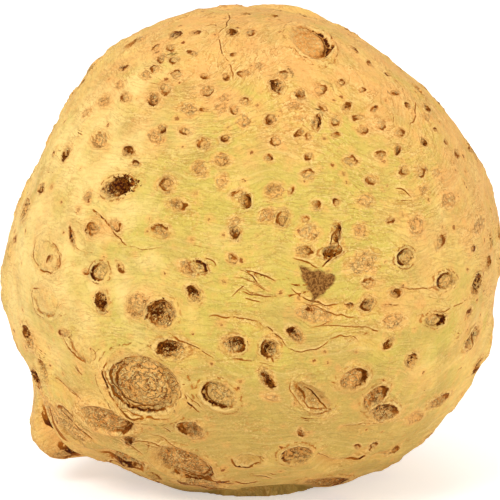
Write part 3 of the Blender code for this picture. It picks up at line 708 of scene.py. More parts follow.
def look_of(number):
    """The look of a scar, all of it for a named one or a small mark, less for the rest."""
    _, _, half_length, _, turn, kind, side, name = (marks[number] + (None, None))[:8]
    name = name or KIND_LOOKS.get(kind, kind)
    seed, dark, strength = np.random.default_rng((MARK_SEED, number)).random(3)
    ruled = len(named_scars) <= number < len(scars)
    share = np.interp(strength, (0, 1), RULE_STRENGTH) if ruled else 1.0
    look = share * np.array(SCAR_LOOKS[name][:6])
    look[1] *= np.interp(half_length, SMALL_SCAR, SMALL_FLOOR)
    look[4:] *= np.interp(half_length, SMALL_SCAR, SMALL_GRAIN)
    side = 360.0 * dark if side is None else side
    return look, SCAR_LOOKS[name][6], math.radians(side - turn), seed


def scar_marks(rays, numbers):
    """For each point the oval place and seed, look, form and grain of its nearest scar."""
    best = np.full(len(rays), np.inf)
    second = np.full(len(rays), np.inf)
    place = np.zeros((len(rays), 3))
    look = np.zeros((len(rays), 4))
    form = np.zeros((len(rays), 4))
    grain = np.zeros((len(rays), 3))
    for number in numbers:
        mark = marks[number]
        (ring, floor, flush, body, curls, grains), tone, side, seed = look_of(number)
        index = np.flatnonzero(near_scar(rays, mark))
        along, aside = scar_place(rays[index], mark)
        far = np.hypot(along, aside)
        behind = far >= best[index]
        second[index] = np.where(behind, np.minimum(second[index], far), best[index])
        index = index[~behind]
        along, aside, far = along[~behind], aside[~behind], far[~behind]
        best[index] = far
        place[index] = np.column_stack([along, aside, np.full(len(far), seed)])
        look[index] = (ring, floor, flush, 1.0)
        form[index] = (math.cos(side), math.sin(side), mark[3], body)
        grain[index] = (curls, grains, tone)
    known = np.isfinite(best)
    look[known, 3] = 1.0 - smooth(*SCAR_FADE, best[known])
    gap = np.where(np.isfinite(second), second, 1e3) - np.where(known, best, 0.0)
    look[:, 3] *= smooth(*NEIGHBOUR_FADE, gap)
    return place, look, form, grain


def streak_run(rays):
    """Where each point lies across the streaks, in millimetres: the height along the skin,
    leaned over in places, and drawn level past every scar so that the streaks part round it."""
    run = SKIN_RADIUS * np.arcsin(np.clip(rays[:, 2], -1.0, 1.0))
    shift = np.zeros(len(rays))
    for bearing, height, spread, lean in LEANS:
        across, up = across_and_up(rays, bearing, height)
        turn = math.radians(lean)
        share = bump(rays, direction(bearing, height), spread)
        shift += share * (up * (1.0 - math.cos(turn)) + across * math.sin(turn))
    bend = np.zeros(len(rays))
    for scar in named_scars:
        near = near_scar(rays, scar, BEND_END)
        across, up = across_and_up(rays[near], scar[0], scar[1])
        square = across ** 2 + up ** 2
        size = scar[2] * scar[3]
        level = up * np.minimum(1.0, size / np.maximum(square, 1e-6))
        bend[near] -= level * np.exp(-square / (BEND_SPREAD * size))
    return run - shift + bend


def zone_shares(rays):
    """How much of each broad colour zone reaches each point."""
    shares = []
    for patches in ZONES.values():
        total = sum(strength * bump(rays, direction(b, h), spread) for b, h, spread, strength in patches)
        shares.append(np.clip(total, 0.0, 1.0))
    return shares


def fine_route(line):
    """The points of a line's legs, each leg cut into four."""
    route, _ = fold_route(line)
    ends = np.linspace(0.0, 1.0, len(route))
    steps = np.linspace(0.0, 1.0, 4 * len(route) - 3)
    return np.column_stack([np.interp(steps, ends, route[:, axis]) for axis in range(3)])


def line_marks(rays, numbers):
    """For each point the distance across the nearest line, with its side as the sign, how
    dark that line is there, and how wide."""
    offset = np.full(len(rays), 9.0)
    second = np.full(len(rays), 9.0)
    dark = np.zeros(len(rays))
    wide = np.zeros(len(rays))
    for number in numbers:
        line = LINES[number]
        gap, fade = fold_gap(rays, line)
        closer = gap < np.abs(offset)
        route = fine_route(line)
        side = np.zeros(len(rays))
        nearest = (rays[closer] @ route.T).argmax(axis=1).clip(1, len(route) - 2)
        across = np.cross(route[nearest - 1], route[nearest + 1])
        side[closer] = np.sign(np.einsum("ij,ij->i", rays[closer], across))
        second = np.where(closer, np.abs(offset), np.minimum(second, gap))
        offset[closer] = (side * gap)[closer]
        dark[closer] = (fade * line[6])[closer]
        wide[closer] = line[5]
    reach = 1.0 - smooth(0.5 * LINE_REACH, LINE_REACH, np.abs(offset))
    return offset, dark * reach * smooth(*NEIGHBOUR_FADE, second - np.abs(offset)), wide


def line_gaps(number):
    """The distances from one line to all the lines, in millimetres."""
    nearest = [float((routes[number] @ other.T).max()) for other in routes]
    return np.array([SKIN_RADIUS * math.acos(min(1.0, value)) for value in nearest])


def scar_gaps(number):
    """The distances from one scar's middle to the edges of all the scars, in millimetres."""
    return SKIN_RADIUS * np.arccos(np.clip(middles @ middles[number], -1.0, 1.0)) - reaches


def fold_depth(rays):
    """How deep each point lies in a fold, from 0 to 1."""
    depth = np.zeros(len(rays))
    for fold in FOLDS:
        gap, fade = fold_gap(rays, fold)
        depth = np.maximum(depth, fade * bell(gap, 0.0, fold[5]) * min(1.0, fold[6] / FULL_FOLD))
    return depth


def cut_faces(rays):
    """1 on the cut crown and on the cut ends of the stubs, 0 on the skin."""
    far, _, edge = crown_polar(rays)
    cut = 1.0 - smooth(*CUT_EDGE, far / edge)
    for stub in STUBS:
        cut = np.maximum(cut, 1.0 - smooth(*STUB_CUT_EDGE, stub_share(rays, stub)))
    return cut


# Thin lines in the skin, without relief of their own: start, end, sag, width, how dark
LINES = [
    (-72.5, -33.5, -66.5, -41, 2.4, 2.5, 1.0), (-73, -42.5, -76.5, -49.5, -0.3, 2.5, 1.0),
    (-63.5, -31, -64.5, -40.5, -0.1, 1.2, 0.7), (-64, -34.5, -64.5, -41.5, 0.6, 1.2, 0.7),
    (-66.5, -53.5, -40.5, -50, -3.2, 0.9, 0.8), (-52.5, -36, -50.5, -38.5, 0.0, 0.7, 0.7),
    (-55.5, -31.5, -54, -34.5, 0.0, 0.9, 0.7), (-56.5, -30, -55, -31, 0.0, 0.9, 0.9),
    (-55.5, -23.5, -51.5, -26.5, -0.6, 0.9, 0.9), (-51.5, -26.5, -47, -27.5, 0.0, 0.6, 0.7),
    (-45.5, -18.5, -44, -20.5, 0.0, 0.5, 0.7), (-47, -11, -41, -17, 1.5, 0.8, 0.7),
    (-38.5, -12.5, -38.5, -16, -1.0, 0.5, 0.5), (-15.5, -21.5, -12.5, -27.5, 0.4, 0.8, 1.0),
    (-15.5, -21, -11.5, -28, -0.7, 0.4, 0.5), (-9.5, -3.5, 2, -4, -0.8, 0.5, 0.8),
    (2, -4, 8.5, -10, -0.4, 0.5, 0.8), (8.5, -10, 18, -9, 1.9, 0.5, 0.8),
    (18, -9, 25.5, -10, -1.3, 0.5, 0.6), (-18.5, -7, -8, -13, 0.4, 0.5, 0.8),
    (-8, -13, 6, -15, -0.5, 0.5, 0.5), (9, 3.5, 20.5, -1, 1.3, 0.6, 0.9),
    (20.5, -1, 23, -1.5, 0.0, 0.5, 0.9), (31, -2, 35, -2.5, 0.0, 0.6, 0.8),
    (-11.5, 10.5, -7.5, 8, -0.6, 0.5, 0.7), (-4, 7.5, 6, 5, -0.9, 0.6, 1.0),
    (-0.5, 6.5, 1.5, 4.5, -0.3, 0.7, 1.0), (-2.5, 7.5, 0, 6.5, 0.0, 0.5, 0.7),
    (-4, 1.5, 0.5, 4, -0.5, 0.5, 0.7), (-2, 2.5, 6, 1.5, 0.3, 0.5, 0.8), (-2, 1.5, 2.5, 0, 0.1, 0.5, 0.7),
    (0.5, 4, 4.5, 3, -0.2, 0.4, 0.6), (9.5, 10, 15.5, 7.5, -0.2, 0.6, 0.8),
    (12.5, -5.5, 30, -8, -1.0, 0.5, 0.6), (28, -7.5, 30, -8, 0.0, 0.7, 0.8),
    (34, 2, 47.5, 0, 0.2, 0.5, 0.5), (38, 24, 42, 21, -0.4, 0.6, 0.8),
    (36.5, 20.5, 42.5, 20, -0.1, 0.5, 0.5), (45.5, -5.5, 59.5, -5, 0.4, 0.5, 0.5),
    (21, -41.5, 34.5, -48, 0.6, 0.7, 0.9), (34.5, -48, 40, -41.5, 2.3, 0.9, 1.0),
    (45, -47, 53, -44.5, -0.2, 0.7, 0.9), (24, -33, 32, -32, -0.3, 0.6, 0.8),
    (32, -32, 38.5, -33.5, -0.5, 0.5, 0.7), (-5.5, -42, 4, -45, 3.0, 0.8, 1.0),
    (1, -51, 8.5, -54, -0.8, 0.8, 1.0), (5.5, -49.5, 10, -51, 0.0, 0.5, 0.7),
    (-4.5, -54.5, 0, -54, 0.0, 0.5, 0.7), (-11, -54.5, -6.5, -56.5, 0.3, 1.1, 1.0),
    (63.5, 43, 52.5, 37, -0.6, 0.6, 0.7), (64.5, 49.5, 58, 43.5, -0.5, 0.5, 0.5),
    (67, -13, 63, -18.5, -2.4, 0.7, 0.8), (-40, 82.5, -19.5, 68.5, -1.0, 0.5, 0.9),
    (-19.5, 68.5, -8.5, 58.5, 0.7, 0.5, 0.8), (-8.5, 58.5, -6.5, 53, -0.4, 0.5, 0.6),
    (-59.5, 76.5, -66, 81.5, -0.1, 0.6, 0.8), (-25.5, 72.5, -34.5, 72, 1.9, 0.5, 0.6),
    (49.5, 69, 47.5, 64, -0.7, 1.2, 1.0), (44, 62.5, 39, 61, 0.0, 1.5, 1.0),
    (21.5, 62.5, 30, 58, 1.4, 0.5, 0.7), (-40, 18.5, -34.5, 15, -0.3, 1.2, 1.0),
    (-34.5, 15, -28.5, 11.5, 0.6, 0.6, 0.8), (-28.5, 11.5, -19.5, 11.5, 0.5, 0.4, 0.4),
    (-38, -39, -18.5, -42, -2.8, 0.6, 0.7), (-23.5, -32.5, -22, -34.5, 0.0, 0.5, 0.9),
    (11, -19.5, 13.5, -24.5, 0.0, 1.0, 0.9), (13, -21, 19.5, -27, -0.4, 0.8, 1.0),
    (12.5, -24, 19.5, -27, 0.9, 0.5, 0.7), (9.5, -18, 13.5, -26.5, 1.0, 0.5, 0.5),
    (13.5, -26.5, 21, -27, 1.3, 0.5, 0.5), (19, 10, 16.5, 7.5, 0.2, 0.9, 1.0),
    (20, 12.5, 19.5, 10, -1.3, 0.5, 0.9), (9, 51, 10.5, 48.5, 0.1, 0.8, 1.0),
    (5, -12.5, 5.5, -14, 0.0, 0.7, 0.8), (-34, -15, -34.5, -25.5, 1.3, 0.8, 1.0),
    (-34.5, -25.5, -26.5, -29.5, 1.8, 0.7, 0.9), (-32.5, -15.5, -32.5, -24.5, 1.5, 0.6, 0.8),
    (-19.5, -17.5, -17.5, -24.5, -1.5, 0.5, 0.8), (-32.5, -24.5, -26.5, -27.5, 1.0, 0.5, 0.6),
    (-54.5, -1.5, -58, -6.5, 2.1, 0.5, 0.8), (-58, -6.5, -54, -8.5, 0.8, 0.5, 0.8),
    (-57, 9.5, -54.5, 3, 2.3, 0.4, 0.6), (-54.5, 3, -48.5, 2.5, 0.4, 0.6, 0.8),
    (-51, 9.5, -47, 4, -1.4, 0.5, 0.7), (78.5, 12.5, 79, 11, 0.0, 0.6, 0.8),
    (18, 11, 19, 15.5, -0.1, 0.6, 1.0), (20, 15.5, 20, 11.5, -0.2, 0.6, 1.0),
    (-54, -47.5, -40, -50.5, -0.9, 4.0, 1.0), (-55, -45, -43.5, -49, 0.9, 2.0, 0.8),
    (-12, -51.5, -6.5, -54.5, 1.8, 3.5, 1.0), (-6.5, -54.5, 3.5, -55.5, 1.2, 2.0, 0.9),
    (-17.5, -52.5, -11, -53.5, -1.0, 2.0, 0.8), (-57, -30, -54, -34, -0.2, 0.8, 0.8),
    (-54, -34.5, -49.5, -39, 0.0, 0.7, 0.8), (-54, -24.5, -48.5, -27, -0.3, 1.0, 0.7),
    (-46, -19, -43.5, -20.5, 0.1, 0.7, 0.8), (-34.5, -17, -32, -26.5, 1.4, 0.9, 0.6),
    (-32.5, -27, -20.5, -28.5, 1.8, 0.6, 0.6), (-25.5, -24, -20.5, -28, 0.0, 0.5, 0.4),
    (-48, -30, -34, -28.5, -1.3, 0.5, 0.6), (-42, -36, -34, -43, -0.3, 0.6, 0.6),
    (-32, -39, -20.5, -41.5, -0.8, 0.5, 0.5), (-29, -35, -17.5, -42, -1.3, 0.5, 0.5),
    (-5, 8, 2.5, 5.5, -0.4, 0.5, 0.5), (-4, 6, 4, 3.5, 0.0, 0.5, 0.5), (-2, 3, 5.5, 1.5, 0.2, 0.5, 0.5),
    (11, 0.5, 26, -4.5, 0.6, 0.5, 0.6), (11, -2, 18.5, -2, -1.4, 0.4, 0.4),
    (-24.5, -48.5, -10.5, -53, 1.2, 1.4, 0.8), (-28.5, -57.5, -12, -59.5, 2.9, 1.6, 0.7),
]
# Dried soil: where its middle lies, and its sides as lean, climb and reach in millimetres
SOIL_PLACE = (15.5, 4.6)
SOIL_SIDES = [(0.30, 0.95, 2.3), (1.0, 0.0, 3.6), (0.63, -0.78, 2.9), (-0.93, -0.37, 2.9)]

marks = scars + SMALL_MARKS
middles = np.array([direction(mark[0], mark[1]) for mark in marks])
reaches = np.array([mark[2] for mark in marks])
layer_of_scar = deal(len(marks), reaches, scar_gaps)
routes = [fold_route(line)[0] for line in LINES]
layer_of_line = deal(len(LINES), [line[6] for line in LINES], line_gaps)
for layer in range(LAYERS):
    values = scar_marks(rays, np.flatnonzero(layer_of_scar == layer))
    for name, columns in zip(SCAR_VALUES, values):
        store("scar_%s_%d" % (name, layer), columns)
    store("line_%d" % layer, *line_marks(rays, np.flatnonzero(layer_of_line == layer)))
store("zones", *zone_shares(rays))
store("run", streak_run(rays), cut_faces(rays), fold_depth(rays))

# ---------------------------------------------------------------- Skin finish
# Washed skin is thin, dull and uneven: cream, yellow-green and tan in broad zones, with fine
# streaks that part round the scars, brown lines, and corky, dirt-stained scars. Painted shade
# darkens one side of each scar, the pits, the folds and the lower skin, and painted highlights
# lie on the cream of the upper left and along lips, curls, wrinkles and lines. Distances are
# in millimetres, and noise scales in steps a millimetre.
SKIN_SPECULAR = 0.06
SKIN_ROUGHNESS = (0.25, 0.45)
SOIL_FRONT = (-20.0, -30.0)
TONES = {
    "yellow": (244, 201, 109),
    "cream": (255, 221, 138),
    "orange": (240, 178, 102),
    "green": (212, 189, 86),
    "olive": (200, 166, 86),
    "flush": (247, 178, 98),
    "grain": (186, 110, 30),
    # The pale fleck tone, for real flecks and also for the painted highlights
    "fleck and highlight": (255, 218, 138),
    "tan": (250, 190, 110),
    "cork": (243, 168, 84),
    "brown": (214, 134, 50),
    "bark": (136, 60, 0),
    "line": (80, 28, 0),
    "brown line": (150, 86, 20),
    "rusty line": (184, 104, 24),
    "pit": (80, 26, 0),
    "cut": (226, 190, 126),
    "soil": (112, 68, 26),
    "dry soil": (172, 120, 58),
}


def paint(name):
    """A tone, given as it looks on a screen from 0 to 255, in the shader's linear values."""
    share = np.array(TONES[name]) / 255.0
    return (*np.where(share <= 0.04045, share / 12.92, ((share + 0.055) / 1.055) ** 2.4).tolist(), 1.0)


# The functions that follow work on the node tree in hand, which is called tree
def wire(socket, value):
    """Links a socket to another, or sets it to a value."""
    if isinstance(value, bpy.types.NodeSocket):
        tree.links.new(value, socket)
    else:
        socket.default_value = value


def add(kind, settings=(), **inputs):
    """A shader node with its settings and its inputs, named with _ for a space."""
    made = tree.nodes.new("ShaderNode" + kind)
    for name, value in dict(settings).items():
        setattr(made, name, value)
    for name, value in inputs.items():
        wire(made.inputs[name.replace("_", " ")], value)
    return made


def work(operation, *values):
    """One step of arithmetic on numbers or sockets."""
    made = add("Math", {"operation": operation})
    for socket, value in zip(made.inputs, values):
        wire(socket, value)
    return made.outputs[0]


def product(*values):
    """Several numbers or sockets multiplied together."""
    total = values[0]
    for value in values[1:]:
        total = work("MULTIPLY", total, value)
    return total


def scaled(value, factor, plus=0.0):
    """A value times a factor, plus an amount."""
    return work("MULTIPLY_ADD", value, factor, plus)


def gap_to(value, middle):
    """How far a value lies from a middle."""
    return work("ABSOLUTE", work("SUBTRACT", value, middle))


def rise(value, low, high):
    """A soft step from 0 at low to 1 at high; low may lie above high."""
    settings = {"interpolation_type": "SMOOTHSTEP"}
    return add("MapRange", settings, Value=value, From_Min=low, From_Max=high).outputs[0]


def mixed(share, low, high):
    """Two colours mixed by a share."""
    made = add("Mix", {"data_type": "RGBA"})
    for number, value in ((0, share), (6, low), (7, high)):
        wire(made.inputs[number], value)
    return made.outputs[2]


def noise(place, scale, detail=2.0, rough=0.55):
    """A noise texture; its first output is a soft random value round 0.5."""
    return add("TexNoise", Vector=place, Scale=scale, Detail=detail, Roughness=rough).outputs


def vector_work(operation, place, amount):
    """A place with an amount added to it, or multiplied into it, on each axis."""
    made = add("VectorMath", {"operation": operation})
    wire(made.inputs[0], place)
    wire(made.inputs[1], amount)
    return made.outputs[0]


def moved(place, x, y=0.0):
    """A place moved by a fixed shift, so that patterns don't agree."""
    return vector_work("ADD", place, (x, y, 0.0))


def parts(vector):
    """The three numbers of a vector."""
    return add("SeparateXYZ", Vector=vector).outputs


def channels(colour):
    """The three numbers of a colour."""
    return add("SeparateColor", Color=colour).outputs


def joined(x, y, z):
    """A vector from three numbers."""
    return add("CombineXYZ", X=x, Y=y, Z=z).outputs[0]


def kept(name):
    """The stored values of the mesh under a name."""
    return add("Attribute", {"attribute_name": name}).outputs


def toned(colour, name, *shares):
    """A tone laid over a colour by the product of its shares."""
    return mixed(product(*shares), colour, paint(name))


def drawn(share, colour, name):
    """A dark tone drawn over a colour by a share, with a rusty edge where it thins out."""
    rusty = toned(colour, "rusty line", rise(share, 0.0, 0.4))
    return toned(rusty, name, rise(share, 0.20, 0.75))


def band(value, middle, outer, inner_shade):
    """1 within the inner distance of a middle value, 0 past the outer one."""
    return rise(gap_to(value, middle), outer, inner_shade)


def largest(*values):
    """The largest of several numbers or sockets."""
    total = values[0]
    for value in values[1:]:
        total = work("MAXIMUM", total, value)
    return total


def new_group(name, inputs, outputs):
    """An empty node group with its sockets; returns the group, its input sockets and its end."""
    group = bpy.data.node_groups.new(name, "ShaderNodeTree")
    for title, kind in inputs.items():
        group.interface.new_socket(title, in_out="INPUT", socket_type="NodeSocket" + kind)
    for title in outputs:
        group.interface.new_socket(title, in_out="OUTPUT", socket_type="NodeSocketFloat")
    start = group.nodes.new("NodeGroupInput")
    end = group.nodes.new("NodeGroupOutput")
    return group, start.outputs, end.inputs


def grouped(group, inputs):
    """A group laid into the tree with its inputs linked; the result is its outputs by name."""
    node = tree.nodes.new("ShaderNodeGroup")
    node.node_tree = group
    for name, socket in inputs.items():
        tree.links.new(socket, node.inputs[name])
    return {socket.name: socket for socket in node.outputs}


# One scar: an uneven oval with a flush round it, curls and grains inside, a dark floor
# towards one side, and a dark, broken edge that is strongest on that side, with a pale lip.
# The extra darkness on that side is painted shade, and the pale lip and the pale sides of the
# curls are painted highlights.
scar_inputs = {"Place": "Vector", "Look": "Color", "Fade": "Float", "Form": "Color", "Body": "Float",
               "Grain": "Vector", "Skin": "Vector"}
scar_outputs = ("Flush", "Body", "Tone", "Brown", "Pale Grain And Highlight", "Line", "Pit", "Height")
tree, given, result = new_group("scar_masks", scar_inputs, scar_outputs)
scar_group = tree
along, aside, seed = parts(given["Place"])
ring, floor, flush = channels(given["Look"])
side_x, side_y, half_width = channels(given["Form"])
curls, grains, tone = parts(given["Grain"])
fade = given["Fade"]
own_shift = joined(product(seed, 70.0), 0.0, 0.0)
own = vector_work("ADD", given["Skin"], own_shift)
wobble = work("MINIMUM", work("DIVIDE", scaled(ring, -1.0, 2.2), half_width), 1.5)
sway_x, sway_y, sway = channels(noise(own, 0.60)["Color"])
own_x = scaled(scaled(sway_x, 1.0, -0.5), wobble, along)
own_y = scaled(scaled(sway_y, 1.0, -0.5), wobble, aside)
far = work("SQRT", scaled(own_x, own_x, product(own_y, own_y)))
facing = scaled(own_x, side_x, product(own_y, side_y))
shaded_side = rise(work("DIVIDE", facing, work("MAXIMUM", far, 0.05)), -0.6, 0.9)
outside = product(work("SUBTRACT", far, 0.92), half_width)
loose = product(outside, work("SQRT", wobble), 0.8)
loose = work("ADD", loose, scaled(sway, 1.6, -0.8))
close = product(rise(loose, 0.35, -0.30), fade)
inside = product(rise(loose, 0.15, -0.40), fade)
grit = noise(own, 1.6, 2.0, 0.6)[0]
blotch = noise(own, 0.95, 2.5, 0.6)[0]
curl = noise(moved(own, 0.0, 30.0), 0.55, 2.5, 0.6)[0]
breaks = noise(moved(own, 0.0, 60.0), 0.70)[0]
open_part = rise(breaks, 0.36, 0.46)

# Curls and fibres that go round inside the scar, each with a pale side that is a painted highlight
fibre = work("FRACT", scaled(outside, 0.7, scaled(curl, 4.0)))
curl_line = rise(scaled(curls, -0.040, gap_to(curl, 0.5)), 0.0, -0.030)
fibre_line = rise(scaled(curls, -0.15, gap_to(fibre, 0.5)), 0.0, -0.10)
curl_dark = product(largest(curl_line, fibre_line), close, open_part)
curl_highlight = rise(scaled(curls, -0.18, gap_to(fibre, 0.78)), 0.0, -0.12)
curl_highlight = product(curl_highlight, close, open_part)

# Grains of cork, dark and pale
grain_dark = product(rise(scaled(grains, 0.12, grit), 0.70, 0.76), close)
grain_pale = product(rise(scaled(grains, -0.12, grit), 0.36, 0.30), close)

# The edge: a broken dark line, darkest on the shaded side as painted shade, a fainter band of
# painted shade inside it on that side and a faint line outside, and a pale lip that is a painted highlight
broken = rise(breaks, 0.36, 0.50)
edge = product(rise(work("ABSOLUTE", outside), 0.34, 0.12), broken)
edge = product(edge, scaled(shaded_side, 0.85, 0.15))
inner_shade = product(gap_to(far, 0.78), half_width)
inner_shade = product(rise(inner_shade, 0.36, 0.08), shaded_side, shaded_side, 0.7)
outer = product(gap_to(far, 1.35), half_width)
outer = product(rise(outer, 0.30, 0.06), rise(breaks, 0.55, 0.45), 0.35)
edges = product(largest(edge, inner_shade, outer), ring, fade)
lip_highlight = product(rise(gap_to(outside, 0.55), 0.40, 0.10), ring, fade)
lip_highlight = product(lip_highlight, scaled(shaded_side, 0.5, 0.1))

# In the floor: brown dirt stains, and a near-black pit towards the shaded side, partly the
# scar's own dark floor and partly painted shade in the hollow
stain = rise(scaled(floor, 0.08, blotch), 0.64, 0.70)
stain = product(stain, inside, floor)
pit_x = scaled(side_x, -0.40, own_x)
pit_y = scaled(side_y, -0.40, own_y)
pit = work("SQRT", scaled(pit_x, pit_x, product(pit_y, pit_y)))
pit = scaled(blotch, 3.4, pit)
pit = scaled(grit, 1.0, pit)
pit = scaled(seed, -0.22, scaled(tone, -0.90, pit))
pit = product(rise(pit, 2.16, 1.96), floor, fade, 0.85)
lines = largest(product(edges, 0.8), product(stain, 0.6))
pale_grain_and_highlight = largest(product(curl_highlight, 0.8), grain_pale, product(lip_highlight, 0.9))
height = scaled(lines, -0.60, product(pale_grain_and_highlight, 0.35))
height = scaled(pit, -0.60, height)
height = scaled(curl_dark, -0.40, height)
height = scaled(product(close, blotch), 0.8, height)
wire(result["Flush"], product(rise(loose, 1.7, -0.3), flush, fade))
wire(result["Body"], product(inside, given["Body"]))
wire(result["Tone"], product(tone, rise(loose, 0.6, 0.4), fade))
wire(result["Brown"], largest(curl_dark, product(grain_dark, 0.9)))
wire(result["Pale Grain And Highlight"], pale_grain_and_highlight)
wire(result["Line"], lines)
wire(result["Pit"], pit)
wire(result["Height"], height)

# One line: dark and wavering, broken in places, with a pale lip on one side that is a painted highlight
line_inputs = {"Marks": "Vector", "Skin": "Vector"}
tree, given, result = new_group("line_masks", line_inputs, ("Skin Line", "Skin Lip Highlight", "Skin Glow"))
line_group = tree
offset, dark, wide = parts(given["Marks"])
wave = scaled(noise(given["Skin"], 0.20, 1.5)[0], 2.4, -1.2)
offset = work("ADD", offset, wave)
line_far = work("ABSOLUTE", offset)
gaps = rise(noise(moved(given["Skin"], 0.0, 50.0), 0.6)[0], 0.34, 0.46)
line_mask = rise(scaled(wide, -0.20, line_far), 0.10, -0.06)
wire(result["Skin Line"], product(line_mask, dark, gaps))
lip_highlight_far = gap_to(scaled(wide, -0.20, offset), 0.30)
wire(result["Skin Lip Highlight"], product(rise(lip_highlight_far, 0.35, 0.05), dark, gaps))
wire(result["Skin Glow"], product(rise(line_far, 2.2, 0.0), dark))

skin_look = bpy.data.materials.new("celeriac_skin")
skin_look.use_nodes = True
tree = skin_look.node_tree
shader = tree.nodes["Principled BSDF"]
shader.inputs["Specular IOR Level"].default_value = SKIN_SPECULAR
mm = vector_work("MULTIPLY", add("TexCoord").outputs["Object"], (1.0 / MM, 1.0 / MM, 1.0 / MM))
mm_x, mm_y, mm_z = parts(mm)

# The layers of scars and of lines laid over each other; the relief of one layer nudges the
# noise of the next
masks = {}
skin_place = mm
for layer in range(LAYERS):
    sources = {name: kept("scar_%s_%d" % (name, layer)) for name in SCAR_VALUES}
    inputs = {"Place": sources["place"]["Vector"], "Look": sources["look"]["Color"], "Skin": skin_place}
    inputs.update({"Fade": sources["look"]["Alpha"], "Form": sources["form"]["Color"]})
    inputs.update({"Body": sources["form"]["Alpha"], "Grain": sources["grain"]["Vector"]})
    outputs = grouped(scar_group, inputs)
    inputs = {"Marks": kept("line_%d" % layer)["Vector"], "Skin": mm}
    outputs.update(grouped(line_group, inputs))
    for name, socket in outputs.items():
        joint = "ADD" if name == "Height" else "MAXIMUM"
        masks[name] = work(joint, masks[name], socket) if name in masks else socket
    nudge = joined(0.0, 0.0, product(outputs["Height"], 0.01))
    skin_place = vector_work("ADD", skin_place, nudge)

# Broad zones, each broken up by soft patches; the cream on the lit upper left is partly painted
# highlight, and the olive low down partly painted shade
zones = kept("zones")
zone_green, zone_orange, zone_cream = channels(zones["Color"])
colour = paint("yellow")
shares = {"cream": zone_cream, "orange": zone_orange, "green": zone_green, "olive": zones["Alpha"]}
for number, (name, share) in enumerate(shares.items()):
    patches = noise(moved(mm, 40.0 * number), 0.095, 4.0, 0.6)[0]
    level = work("ADD", scaled(patches, 3.2, -1.6), share)
    colour = toned(colour, name, rise(level, -0.1, 1.1), 0.9)
colour = toned(colour, "flush", masks["Flush"], 0.75)
run_x, cut, fold_deep = parts(kept("run")["Vector"])
# An orange flush deeper in the folds: partly the skin's colour there, partly painted crease shade
colour = toned(colour, "flush", fold_deep, 0.50)
colour = toned(colour, "flush", masks["Skin Glow"], 0.30)

# How rough the skin is: more so round the scars and lines and in the orange zones
patchy = noise(moved(mm, 0.0, 90.0), 0.11, 3.0, 0.6)[0]
coarse = scaled(masks["Flush"], 0.5, scaled(zone_orange, 0.40, scaled(patchy, 2.4, -1.2)))
coarse = rise(work("ADD", coarse, product(masks["Skin Glow"], 0.5)), -0.2, 0.8)


def drawn_out(along, across):
    """A place for noise that is drawn out along the skin: level steps, and steps across it."""
    level = [product(way, along) for way in (mm_x, mm_y)]
    return joined(*level, product(run_across, across))


# Streaks and wrinkles along the skin: noise drawn out along lines that part round the scars
run_across = work("ADD", run_x, scaled(noise(mm, 0.06)[0], 9.0, -4.5))
streak_place = joined(product(mm_x, 0.06), product(mm_y, 0.06), run_across)
streak = noise(streak_place, 0.75, 4.0, 0.6)[0]
colour = toned(colour, "olive", rise(streak, 0.50, 0.75), 0.22)
colour = toned(colour, "cream", rise(streak, 0.48, 0.28), 0.30)
wrinkle = noise(drawn_out(0.22, 0.80), 1.0, 3.0, 0.6)[0]
wrinkle_dark = product(band(wrinkle, 0.5, 0.035, 0.010), coarse)
# A pale band along one side of each wrinkle: a painted highlight
wrinkle_highlight = product(band(wrinkle, 0.545, 0.035, 0.010), coarse)
colour = toned(colour, "fleck and highlight", wrinkle_highlight, 0.50)
colour = toned(colour, "grain", wrinkle_dark, 0.50)

# Mottling and grain
mottle = noise(mm, 0.45, 5.0, 0.65)[0]
pore = noise(mm, 2.0, 3.0, 0.65)[0]
colour = toned(colour, "flush", rise(mottle, 0.50, 0.70), 0.30)
pore_dark = product(rise(pore, 0.54, 0.68), scaled(coarse, 0.35, 0.12))
pore_pale = product(rise(pore, 0.46, 0.33), scaled(coarse, 0.45, 0.20))
colour = toned(colour, "grain", pore_dark)
colour = toned(colour, "fleck and highlight", pore_pale)

# Small brown dots, most of them towards the crown
dots = add("TexVoronoi", {"feature": "F1"}, Vector=mm, Scale=0.30, Randomness=1.0).outputs
dot_kind, dot_size, dot_tone = channels(dots["Color"])
dot_share = work("ADD", product(zone_orange, 0.45), scaled(zone_green, 0.15, 0.30))
dot_where = rise(work("SUBTRACT", dot_share, dot_kind), 0.0, 0.05)
dot_far = work("ADD", dots["Distance"], scaled(pore, 0.5, -0.25))
dot_far = work("DIVIDE", dot_far, scaled(dot_size, 0.12, 0.06))
colour = toned(colour, "flush", rise(dot_far, 3.5, 0.8), dot_where, 0.45)
dot_core = product(rise(dot_far, 1.2, 0.6), dot_where, scaled(dot_tone, 0.6, 0.35))
colour = toned(colour, "bark", dot_core)

# The scars themselves, then the lines and the cut faces
body_level = scaled(mottle, 2.6, scaled(masks["Tone"], 1.0, -1.3))
body_tone = mixed(rise(body_level, 0.0, 0.5), paint("tan"), paint("cork"))
body_tone = mixed(rise(body_level, 0.5, 1.0), body_tone, paint("brown"))
colour = mixed(product(masks["Body"], 0.85), colour, body_tone)
# Pale cork grains, and painted highlights on the scars' pale lips and beside their curls
colour = toned(colour, "fleck and highlight", masks["Pale Grain And Highlight"])
colour = toned(colour, "bark", masks["Brown"], rise(mottle, 0.36, 0.60))
# Dark scar edges, made darker on one side of each scar by painted shade
colour = drawn(masks["Line"], colour, "line")
# The pits: partly the scars' own dark floors, partly painted shade in the hollows
colour = drawn(masks["Pit"], colour, "pit")
colour = toned(colour, "grain", masks["Pit"], rise(pore, 0.52, 0.40), 0.85)
